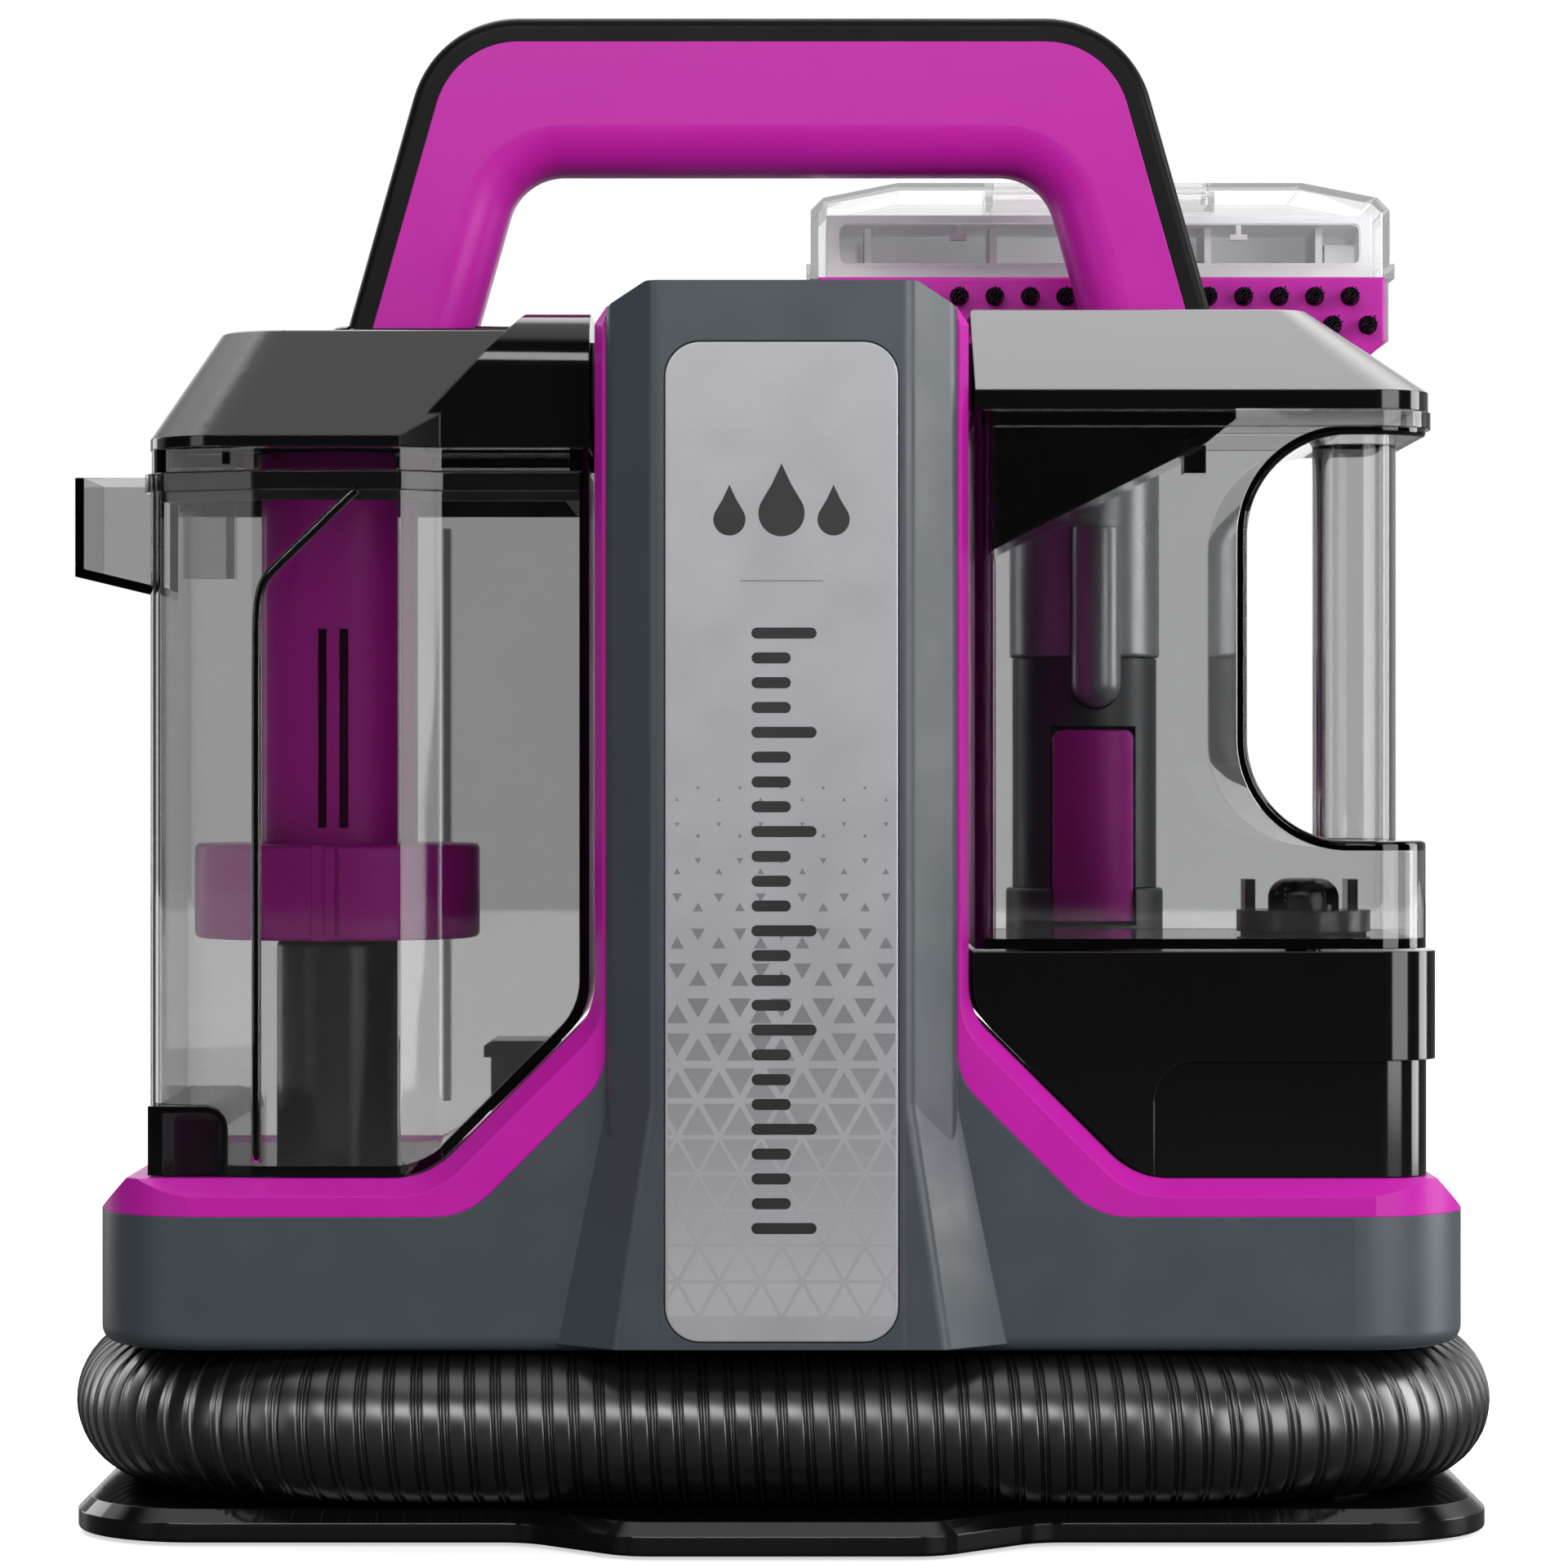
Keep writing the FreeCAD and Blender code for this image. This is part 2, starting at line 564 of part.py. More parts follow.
def inlet_tube():
    body = post(TUBE.x, TUBE.y, 148.4, LID0, 19.8)
    body = body.cut(post(TUBE.x, TUBE.y, 140, LID0 + 5, 17.6))
    flange = post(TUBE.x, TUBE.y, LID0 - 4, LID0, 23).cut(post(TUBE.x, TUBE.y, 200, LID0 + 5, 17.6))
    tube = joined([body, flange])
    for x in (-3.4, 2.0):
        tube = tube.cut(box(TUBE.x + x, TUBE.x + x + 2.2, -66, -54, 176, 226))
    retainer = post(TUBE.x, TUBE.y, 148.4, 152.4, 23.5).cut(post(TUBE.x, TUBE.y, 140, 160, 17.6))
    return joined([tube, retainer])


def float_ring():
    ring = post(TUBE.x, TUBE.y, 148, 172, 36)
    ring = rounded_edges(ring, 1.6, lambda e: level(148)(e) or level(172)(e))
    ring = ring.cut(post(TUBE.x, TUBE.y, 140, 180, 20.8)).cut(post(TUBE.x, TUBE.y, 140, 153, 24.5))
    hollow = post(TUBE.x, TUBE.y, 150, 170, 34).cut(post(TUBE.x, TUBE.y, 149, 171, 26.5))
    for x, width in ((-3.6, 3.4), (2.4, 0.9)):
        ring = ring.cut(box(TUBE.x + x, TUBE.x + x + width, TUBE.y - 40, TUBE.y - 35, 140, 180))
    return ring.cut(hollow)


def float_guide():
    """The dark post under the inlet tube, on the tank's floor."""
    floor = DECK + 0.4 + TANK_WALL
    guide = rounded_edges(post(TUBE.x, TUBE.y, floor, 147.4, 15.6), 1.5, level(147.4))
    return guide.cut(post(TUBE.x, TUBE.y, floor - 1, 145, 13.4))


def dirty_tank_seal():
    """The rubber face seal round both lid ports on the column's side."""
    pads = []
    for y in (INLET_Y, VACUUM_Y):
        pads.append(rod(V(-47.3, y, LID_PORT_Z), V(-46, y, LID_PORT_Z), 15).cut(
            rod(V(-50, y, LID_PORT_Z), V(-40, y, LID_PORT_Z), 11)))
    return Part.makeCompound(pads)


# ---------------------------------------------------------------- clean water tank
def clean_form(inset, z0, z1):
    """The tank with its hand opening, moved in by inset; the grip column joins the foot to the top shelf."""
    block = clean_block(inset, z0, z1)
    opening = prism_xz([(114.6 - inset, 173 - inset), (114.6 - inset, 273 + inset), (170, 273 + inset),
                        (170, 173 - inset)], -95, 15, [25 + inset, 25 + inset, 0, 0])
    grip = post(146, -40, 165, 277, 10.6 - inset)
    return joined([block.cut(opening), grip])


def on_hand_opening(edge):
    """Whether the edge is where the hand opening meets the tank's front or back."""
    box_ = edge.BoundBox
    flat = abs(box_.YLength) < 1e-3 and (box_.YMin < TANK_FRONT + 0.01 or box_.YMax > TANK_REAR - 0.01)
    return flat and box_.XMin > 114 and box_.ZMin > 172 and box_.ZMax < 274 and box_.XMax < 145


def clean_tank():
    outer = clean_form(0, CLEAN_BOTTOM, CLEAN_TOP)
    outer = rounded_edges(outer, 1.2, on_hand_opening)
    rim = clean_block(0, CLEAN_TOP - 4, CLEAN_TOP, grow=1.2)
    inner = clean_form(TANK_WALL, CLEAN_BOTTOM + TANK_WALL, CLEAN_TOP + 6)
    tank = joined([outer, rim]).cut(inner)
    return tank.cut(post(VALVE.x, VALVE.y, 140, 152, 9.4))


def clean_lid_form(inset):
    low = (TANK_X0, TANK_X1 + 0.6, -86, TANK_REAR + 0.6, 14, 15)
    high = (TANK_X0, 133.5, -51, TANK_REAR + 0.6, 8, 9)
    return sloped_cover((CLEAN_TOP + FIT, 284, 307), low, high, inset)


def clean_lid():
    """A sloping cover with a deep wedge that reaches down into the tank beside the column."""
    shell = rounded_edges(clean_lid_form(0), 1.2, lambda e: level(307)(e))
    shell = shell.cut(clean_lid_form(WALL))
    plug = prism_xz([(50.8, 244), (50.8, 281), (112, 281), (112, 277), (104.6, 271)], -81.8, 0.8)
    core = prism_xz([(52.8, 247.4), (52.8, 284), (109, 284), (109, 279), (103, 272.8)], -79.8, -1.2)
    hook = box(101, 106.5, -60, -50, 265, 272)
    floor = clean_lid_form(1).common(box(40, 170, -100, 20, CLEAN_TOP + FIT + 1, CLEAN_TOP + FIT + 2.6))
    floor = floor.fuse(clean_block(2, CLEAN_TOP + FIT, CLEAN_TOP + FIT + 2.6)).removeSplitter()
    plug = plug.common(clean_block(TANK_WALL + 0.7, 200, 300))
    return joined([shell, floor, plug, hook]).cut(core)


def tank_valve():
    base = post(VALVE.x, VALVE.y, CLEAN_BOTTOM + TANK_WALL + 0.8, 155, 17)
    skirt = post(VALVE.x, VALVE.y, 146.6, 150, 9.1)
    dome = rounded_edges(post(VALVE.x, VALVE.y, 154, 163, 9), 5, level(163))
    fins = [box(VALVE.x + x, VALVE.x + x + 2.6, VALVE.y - 6, VALVE.y + 6, 154, 162.8) for x in (-15.4, 10.6)]
    valve = joined([base, skirt, dome, *fins])
    valve = valve.cut(post(VALVE.x, VALVE.y, 140, 161, 6))
    for turn in (0, 90):
        slot = box(-12, 12, -1.8, 1.8, 156.5, 160.5)
        slot.rotate(V(0, 0, 0), V(0, 0, 1), turn + 45)
        slot.translate(V(VALVE.x, VALVE.y, 0))
        valve = valve.cut(slot)
    return valve


def valve_plunger():
    head = post(VALVE.x, VALVE.y, 152.6, 155, 5.6)
    return head.fuse(post(VALVE.x, VALVE.y, 150.4, 153, 2)).removeSplitter()


def valve_spring():
    turns = [Part.makeTorus(4.4, 0.45, V(VALVE.x, VALVE.y, z)) for z in (155.5, 157.1, 158.7, 160.3)]
    return Part.makeCompound(turns)


def valve_gasket():
    floor = CLEAN_BOTTOM + TANK_WALL
    return post(VALVE.x, VALVE.y, floor, floor + 0.8, 16).cut(post(VALVE.x, VALVE.y, 140, 155, 9.6))


# ---------------------------------------------------------------- motor housing and what it holds
def housing_form(inset, y1):
    x0, x1, top = TANK_X0 - 0.6 + inset, HOUSING_X1 - inset, HOUSING_TOP - inset
    low = DECK + 0.2 - (5 if inset else 0)
    edge = SLOPE + 1.2 + inset * math.sqrt(2)
    face = [(x0, top), (x1, top), (x1, low), (edge - low, low), (x0, edge - x0)]
    form = prism_xz(face, -86 + inset, y1 - inset, [0, 0, 0, 20 - inset, 17 - inset])
    plan = rounded_box(30, x1, -86 + inset, y1 - inset, 80, 160, [0, 14 - inset, 14 - inset, 0])
    return form.common(plan)


HOUSING_REAR = 64.0


def motor_housing():
    housing = housing_form(0, HOUSING_REAR).cut(housing_form(WALL, HOUSING_REAR))
    step = prism_xz([(91.6, 80), (91.6, 119), (175, 119), (175, 80)], -95, 75, [0, 10, 0, 0])
    step = step.cut(rounded_box(30, HOUSING_X1 - 2.2, -84.6, HOUSING_REAR - 1.4, 60, 130, [0, 12.6, 12.6, 0]))
    housing = housing.cut(step)
    spigot = post(VALVE.x, VALVE.y, HOUSING_TOP - 6, 150.2, 4.6)
    housing = joined([housing, spigot]).cut(post(VALVE.x, VALVE.y, 130, 155, 3))
    for z in VENT_ROWS:
        housing = housing.cut(box(VENT_X0, VENT_X1, HOUSING_REAR - 5, HOUSING_REAR + 5, z, z + 2.4))
    for x, z in DOCK_SCREWS:
        housing = housing.cut(rod(V(x, 58, z), V(x, 70, z), 1.6))
    return housing


VENT_X0, VENT_X1 = 112.0, 140.0
VENT_ROWS = [100 + 5 * i for i in range(7)]
DOCK_SCREWS = [(73, 126), (97, 126)]


def vent_screen():
    """The foam behind the exhaust slots."""
    return box(VENT_X0 - 3, VENT_X1 + 3, HOUSING_REAR - WALL - 2.2, HOUSING_REAR - WALL - 0.2, 96, 137)


def vacuum_motor():
    can = post(MOTOR.x, MOTOR.y, 101, 140, MOTOR_R)
    can = rounded_edges(can, 3, lambda e: level(101)(e) or level(140)(e))
    can = can.cut(post(MOTOR.x, MOTOR.y, 100, 141, 4.08))
    for turn in range(8):
        slot = box(MOTOR_R - 4, MOTOR_R + 2, -4, 4, 108, 132)
        slot.rotate(V(0, 0, 0), V(0, 0, 1), turn * 45)
        slot.translate(V(MOTOR.x, MOTOR.y, 0))
        can = can.cut(slot)
    return can


def motor_shaft():
    return post(MOTOR.x, MOTOR.y, 85, 139.5, 4)


FAN_R = 25.5


def vacuum_fan():
    """A backward-swept impeller between two discs."""
    hub = post(MOTOR.x, MOTOR.y, 85, 96, 8)
    discs = [post(MOTOR.x, MOTOR.y, 85, 86.2, FAN_R).cut(post(MOTOR.x, MOTOR.y, 84, 87, 12)),
             post(MOTOR.x, MOTOR.y, 94.8, 96, FAN_R)]
    blades = []
    for i in range(9):
        blade = box(7, FAN_R - 0.5, -0.7, 0.7, 86, 95)
        blade.rotate(V(7, 0, 0), V(0, 0, 1), -24)
        blade.rotate(V(0, 0, 0), V(0, 0, 1), i * 40)
        blade.translate(V(MOTOR.x, MOTOR.y, 0))
        blades.append(blade)
    fan = joined([hub, *discs, *blades])
    return fan.cut(post(MOTOR.x, MOTOR.y, 80, 100, 4.0))


def fan_shroud():
    bowl = post(MOTOR.x, MOTOR.y, 81.2, 99.4, MOTOR_R)
    bowl = bowl.cut(post(MOTOR.x, MOTOR.y, 83.2, 97.8, MOTOR_R - 2)).cut(post(MOTOR.x, MOTOR.y, 80, 84, 12))
    bowl = bowl.cut(post(MOTOR.x, MOTOR.y, 97, 100, 6))
    outlet = box(MOTOR.x - 10, MOTOR.x + 10, MOTOR.y + 20, MOTOR.y + 40, 88, 96)
    return bowl.cut(outlet)


def motor_mount():
    """The rubber ring that the motor rests on."""
    return post(MOTOR.x, MOTOR.y, 99.6, 100.8, MOTOR_R - 1).cut(post(MOTOR.x, MOTOR.y, 99, 102, 22))


def vacuum_duct():
    """Carries air from the dirty water lid, down the column and across the tub, up into the fan."""
    line = [V(-46, VACUUM_Y, LID_PORT_Z), V(0, VACUUM_Y, LID_PORT_Z), V(0, VACUUM_Y, 64), V(0, MOTOR.y, 64),
            V(MOTOR.x, MOTOR.y, 64)]
    rise = [V(MOTOR.x, MOTOR.y, 64), V(MOTOR.x, MOTOR.y, 81)]
    outer = joined([bent_rod(line + rise[1:], 12)])
    return outer.cut(bent_rod([line[0] - V(1, 0, 0), *line[1:], rise[1] + V(0, 0, 1)], 10.2))


def inlet_duct():
    line = [V(0, 66, ELBOW_Z), V(0, INLET_Y, ELBOW_Z), V(0, INLET_Y, LID_PORT_Z), V(-46, INLET_Y, LID_PORT_Z)]
    outer = bent_rod(line, 12.6)
    return outer.cut(bent_rod([line[0] + V(0, 1, 0), *line[1:3], line[3] + V(-1, 0, 0)], 10.8))


def water_pump():
    body = rod(V(60, -66, 65), V(96, -66, 65), 11)
    head = box(96, 112, -77, -55, 54, 76)
    foot = box(62, 108, -74, -58, 50.6, 56)
    return joined([body, head, foot])


def water_tubes():
    feed = bent_rod([V(VALVE.x, VALVE.y, HOUSING_TOP - 6), V(VALVE.x, VALVE.y, 65), V(VALVE.x, -66, 65),
                     V(112, -66, 65)], WATER_TUBE_R)
    supply = bent_rod([V(60, -66, 65), V(30, -66, 65), V(30, -66, 104), V(30, 52, 104), V(30, 52, ELBOW_Z),
                       V(13, 52, ELBOW_Z)], WATER_TUBE_R)
    return Part.makeCompound([feed, supply.cut(rod(V(0, 66, ELBOW_Z), V(0, 40, ELBOW_Z), 12.7))])


# ---------------------------------------------------------------- hose, port and dock
def hose_port():
    """The elbow on the column's back that turns the hose downwards."""
    neck = rod(V(0, COLUMN_REAR, ELBOW_Z), V(0, PORT.y, ELBOW_Z), 16)
    flange = rod(V(0, COLUMN_REAR, ELBOW_Z), V(0, COLUMN_REAR + 3, ELBOW_Z), 21)
    cap = rounded_edges(post(PORT.x, PORT.y, ELBOW_Z - 16, ELBOW_Z + 18, 22), 10, level(ELBOW_Z + 18))
    bore = bent_rod([V(0, 60, ELBOW_Z), V(0, PORT.y, ELBOW_Z), V(0, PORT.y, 200)], 13)
    return joined([neck, flange, cap]).cut(bore)


def port_cuff():
    """The turning collar that the hose is fixed in."""
    cuff = post(PORT.x, PORT.y, PORT.z, 225.8, 20.6)
    ribs = [post(PORT.x, PORT.y, z, z + 2, 21.4) for z in (214, 218.5)]
    return joined([cuff, *ribs]).cut(post(PORT.x, PORT.y, 200, 240, 15))


def hose_line():
    """The hose's centreline: straight runs joined by tangent arcs."""
    edges, last = [], HOSE_ROUTE[0]
    for before, here, after in zip(HOSE_ROUTE, HOSE_ROUTE[1:], HOSE_ROUTE[2:]):
        back, ahead = before - here, after - here
        half_turn = (math.pi - back.getAngle(ahead)) / 2
        reach = 0.45 * min(back.Length, ahead.Length)
        radius = reach / math.tan(half_turn)
        back.normalize()
        ahead.normalize()
        start, end = here + back * reach, here + ahead * reach
        inward = (back + ahead).normalize()
        middle = here + inward * (radius / math.cos(half_turn) - radius)
        print(f"hose bend at {here.x:6.1f} {here.y:6.1f} {here.z:6.1f}  radius {radius:7.1f}"
              f"  turn {math.degrees(2 * half_turn):5.1f}")
        edges.append(Part.LineSegment(last, start).toShape())
        edges.append(Part.Arc(start, middle, end).toShape())
        last = end
    edges.append(Part.LineSegment(last, HOSE_ROUTE[-1]).toShape())
    return Part.Wire(edges)


def hose():
    line = hose_line()
    ring = Part.Wire(Part.makeCircle(HOSE_R, PORT, V(0, 0, -1)))
    tube = line.makePipeShell([ring], True, True)
    expected = math.pi * HOSE_R**2 * line.Length
    print(f"hose length {line.Length:.1f}, volume {tube.Volume / expected:.4f} of section times length")
    return tube


def tool_dock():
    """The clip on the back of the motor housing that the tool stands in."""
    plate = box(64, 106, HOUSING_REAR, HOUSING_REAR + 3, 118, 142)
    ring = post(TOOL.x, TOOL.y, 135.5, 142, 25.8)
    arm = box(68, 102, HOUSING_REAR, 76, 135.5, 142)
    dock = joined([plate, ring, arm]).cut(post(TOOL.x, TOOL.y, 120, 160, 22.8))
    return dock.cut(box(TOOL.x - 15, TOOL.x + 15, TOOL.y + 10, 130, 130, 160))


# ---------------------------------------------------------------- cleaning tool
TRIGGER_X0, TRIGGER_X1, TRIGGER_Z0, TRIGGER_Z1 = 75.2, 97.6, 149, 202
TRIGGER_PIN = V(85.7, 77.6, 199)


def tool_cuff():
    cuff = post(TOOL.x, TOOL.y, TOOL.z, 158, 22).cut(post(TOOL.x, TOOL.y, 130, 146.5, 14))
    cuff = rounded_edges(cuff, 1, lambda e: level(158)(e) and e.BoundBox.XLength > 40)
    return cuff.cut(airway(145, 160)).cut(trigger_pocket())


def airway(z0, z1):
    return post(TOOL.x, TOOL.y + 4.5, z0, z1, 12)


def trigger_pocket():
    return box(TRIGGER_X0 - 0.6, TRIGGER_X1 + 0.6, 60, 81.2, TRIGGER_Z0 - 1.2, TRIGGER_Z1 + 1)


def trigger_pin(r, half):
    return rod(TRIGGER_PIN - V(half, 0, 0), TRIGGER_PIN + V(half, 0, 0), r)


def valve_capsule(grow):
    """The rounded cover of the spray valve, set in the tool's front."""
    x, y, r = 87.0, 69.5, 6.8 + grow
    barrel = post(x, y, 215 - grow, 258 + grow, r)
    return joined([barrel, Part.makeSphere(r, V(x, y, 215 - grow))])


def tool_handle():
    handle = post(TOOL.x, TOOL.y, 158.2, 222, 20.2)
    handle = handle.cut(airway(150, 230)).cut(trigger_pocket())
    return handle.cut(trigger_pin(1.5, 13.3)).cut(valve_capsule(FIT))


def tool_trigger():
    """A curved lever along the tool's front, hung from a pin at its top."""
    x0, x1, z0, z1 = TRIGGER_X0, TRIGGER_X1, TRIGGER_Z0, TRIGGER_Z1
    lever = prism_yz([(66, z0), (74, z0), (80.4, 194), (80.4, z1), (66, z1)], x0, x1, [0, 1.5, 0, 2, 0])
    lever = lever.common(post(TOOL.x, TOOL.y, z0, z1, 21))
    lever = lever.common(prism_xz([(x0, z0), (x1, z0), (x1, z1), (x0, z1)], 60, 90, [0, 0, 2.5, 2.5]))
    lever = rounded_edges(lever, 0.8, lambda e: e.BoundBox.ZLength > 40 and e.BoundBox.YMax < 73.5)
    return lever.cut(trigger_pin(1.55, 20))


def tool_neck():
    neck = post(TOOL.x, TOOL.y, 222.3, 283, 21)
    neck = rounded_edges(neck, 1, level(222.3))
    return neck.cut(airway(200, 300)).cut(valve_capsule(FIT))


def spray_valve():
    return valve_capsule(0).cut(post(87, 69.5, 212, 262, 4.8))


def nozzle_throat():
    fan = prism_xz([(64, 283.2), (106, 283.2), (154, 301.8), (154, 303.6), (22, 303.6), (22, 301.8)], 71, 109)
    duct = prism_xz([(76, 280), (94, 280), (148, 302.6), (148, 310), (28, 310), (28, 302.6)], 82, 104)
    return fan.cut(duct)


HEAD_FACE = [(8, 327), (8, 346), (11.5, 349.5), (32, 353.6), (144, 353.6), (165, 349.5), (168.5, 346),
             (168.5, 327)]
MOUTH = [(16, 331.4), (160.4, 331.4), (160.4, 342.4), (16, 342.4)]


def nozzle_hood():
    """The clear hood, open at its front to the suction mouth, with a pressed recess in its roof."""
    hood = prism_xz(HEAD_FACE, 69, 111)
    inner = [(10, 320), (10, 345.4), (12.6, 347.8), (32.4, 351.6), (143.6, 351.6), (163.9, 347.8),
             (166.5, 345.4), (166.5, 320)]
    hood = hood.cut(prism_xz(inner, 71, 109))
    rim = box(6.8, 169.7, 67.8, 112, 327, 331).cut(box(10, 166.5, 71, 109, 320, 340))
    recess = box(57, 121, 82, 106, 347, 352.6)
    hood = joined([hood, rim, recess]).cut(box(59, 119, 84, 104, 349, 360))
    return hood.cut(prism_xz(MOUTH, 66, 72, 2))


def nozzle_inner():
    """The grey mouthpiece behind the clear hood: a tray with ribs, open forwards and down into the throat."""
    tray = box(12.4, 164, 73, 108, 326.6, 345).cut(prism_xz(MOUTH, 70, 106, 2))
    ribs = [box(x - 1, x + 1, 80, 107, 330, 344) for x in (24, 59, 119, 150)]
    ends = [box(15, 22, 84, 107, 330, 338), box(152, 161, 84, 107, 330, 338)]
    tray = joined([tray, *ribs, *ends])
    tray = tray.cut(box(28, 148, 82, 104, 320, 332))
    clips = [box(x - 2.4, x + 2.4, 73.2, 75.4, 338.2, 339.8).fuse(box(x - 0.7, x + 0.7, 73.2, 75.4, 339, 343))
             for x in (49, 127)]
    return joined([tray, *clips])


def nozzle_body():
    """The body of the head between the throat and the hood; the brush clips to its front."""
    face = [(8, 326.4), (168.5, 326.4), (168.5, 310), (160, 303.8), (16, 303.8), (8, 310)]
    body = prism_xz(face, 71.4, 111)
    return body.cut(box(28, 148, 82, 104, 300, 330))


TUFT_PITCH, TUFT_R = 9.8, 2.5
TUFT_ROWS = [(321.5, 15, 0.0), (313.6, 16, -TUFT_PITCH / 2)]
TUFT_X = 19.6


def brush_plate():
    points = [(10, 327), (166.5, 327), (166.5, 309), (161, 304), (15.5, 304), (10, 309)]
    plate = prism_xz(points, 63, 71, 0)
    plate = rounded_edges(plate, 1, at_depth(63))
    for x, z in tuft_places():
        plate = plate.cut(rod(V(x, 62, z), V(x, 68, z), TUFT_R + 0.1))
    return plate


def tuft_places():
    return [(TUFT_X + shift + TUFT_PITCH * i, z) for z, count, shift in TUFT_ROWS for i in range(count)]


def brush_tufts():
    return Part.makeCompound([rod(V(x, 54, z), V(x, 68, z), TUFT_R) for x, z in tuft_places()])


def spray_tip():
    stem = rod(V(88, 62, 299.5), V(88, 70.9, 299.5), 3.2)
    return stem.cut(rod(V(88, 61, 299.5), V(88, 66, 299.5), 1.2))


# ---------------------------------------------------------------- cord inlet, cleat and fasteners
def cord_gland():
    sleeve = rod(V(GLAND.x, 60, GLAND.z), V(GLAND.x, 70.5, GLAND.z), 6)
    collar = rod(V(GLAND.x, 68.2, GLAND.z), V(GLAND.x, 71, GLAND.z), 9)
    tail = Part.makeCone(7, 5, 8, V(GLAND.x, 71, GLAND.z), V(0, 1, 0))
    return joined([sleeve, collar, tail]).cut(rod(V(GLAND.x, 50, GLAND.z), V(GLAND.x, 90, GLAND.z), 3.6))


def cord_cleat():
    """The black cleat behind the dirty water tank that the mains cord is wound on."""
    block = prism_xz([(-78.4, 90), (-78.4, 114), (-60, 114), (-60, 90)], 33, 49)
    cap = prism_xz([(-80, 113.6), (-80, 116.6), (-77.5, 118), (-50, 118), (-50, 113.6)], 28, 54)
    slope = prism_xz([(-SLOPE, 0), (0, 0), (0, SLOPE)], 20, 60)
    return joined([block, cap]).cut(slope)


def fasteners():
    """The rear shell's pan-head screws, the dock's screws and the trigger's hinge pin."""
    screws = [rod(V(x, HOUSING_REAR + 3, z), V(x, HOUSING_REAR + 4.8, z), 3.2) for x, z in DOCK_SCREWS]
    screws.append(trigger_pin(1.5, 13.3))
    for x, z in SCREWS:
        head = rounded_edges(rod(V(x, COLUMN_REAR, z), V(x, COLUMN_REAR + 2, z), 3.4), 0.6,
                             at_depth(COLUMN_REAR + 2))
        shank = rod(V(x, 58, z), V(x, COLUMN_REAR, z), 1.6)
        screw = joined([head, shank])
        cross = [box(x - 2, x + 2, COLUMN_REAR + 1.2, COLUMN_REAR + 3, z - 0.4, z + 0.4),
                 box(x - 0.4, x + 0.4, COLUMN_REAR + 1.2, COLUMN_REAR + 3, z - 2, z + 2)]
        for slot in cross:
            screw = screw.cut(slot)
        screws.append(screw)
    return Part.makeCompound(screws)


def main():
    front, rear = grey_shells()
    pieces = {
        "base_plate": base_plate(),
        "feet": feet(),
        "hose_drum": hose_drum(),
        "front_shell": front,
        "rear_shell": rear,
        "trim_left": trim(-1),
        "trim_right": trim(1),
        "label_panel": label_panel(),
        "top_panel": top_panel(),
        "power_button": power_button(),
        "power_switch": power_switch(),
        "control_board": control_board(),
        "handle_spine": handle_spine(),
        "handle_grip": handle_grip(),
        "handle_bridge": handle_bridge(),
        "dirty_tank": dirty_tank(),
        "dirty_lid_ring": dirty_lid_ring(),
        "dirty_lid_gasket": dirty_lid_gasket(),
        "dirty_lid": dirty_lid(),
        "inlet_elbow": inlet_elbow(),
        "inlet_tube": inlet_tube(),
        "float_ring": float_ring(),
        "float_guide": float_guide(),
        "dirty_tank_seal": dirty_tank_seal(),
        "clean_tank": clean_tank(),
        "clean_lid": clean_lid(),
        "tank_valve": tank_valve(),
        "valve_plunger": valve_plunger(),
        "valve_spring": valve_spring(),
        "valve_gasket": valve_gasket(),
        "motor_housing": motor_housing(),
        "vent_screen": vent_screen(),
        "vacuum_motor": vacuum_motor(),
        "motor_shaft": motor_shaft(),
        "vacuum_fan": vacuum_fan(),
        "fan_shroud": fan_shroud(),
        "motor_mount": motor_mount(),
        "vacuum_duct": vacuum_duct(),
        "inlet_duct": inlet_duct(),
        "water_pump": water_pump(),
        "water_tubes": water_tubes(),
        "hose_port": hose_port(),
        "port_cuff": port_cuff(),
        "hose": hose(),
        "tool_dock": tool_dock(),
        "tool_cuff": tool_cuff(),
        "tool_handle": tool_handle(),
        "tool_trigger": tool_trigger(),
        "tool_neck": tool_neck(),
        "spray_valve": spray_valve(),
        "nozzle_throat": nozzle_throat(),
        "nozzle_body": nozzle_body(),
        "nozzle_inner": nozzle_inner(),
        "nozzle_hood": nozzle_hood(),
        "brush_plate": brush_plate(),
        "brush_tufts": brush_tufts(),
        "spray_tip": spray_tip(),
        "cord_gland": cord_gland(),
        "cord_cleat": cord_cleat(),
        "fasteners": fasteners(),
    }
    for name, shape in pieces.items():
        save(name, shape)


main()
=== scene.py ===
"""Looks of the portable spot cleaner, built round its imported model.

Lengths are in metres, apart from outlines and radii that are multiplied by MM where they are used."""

import json
import math
import random

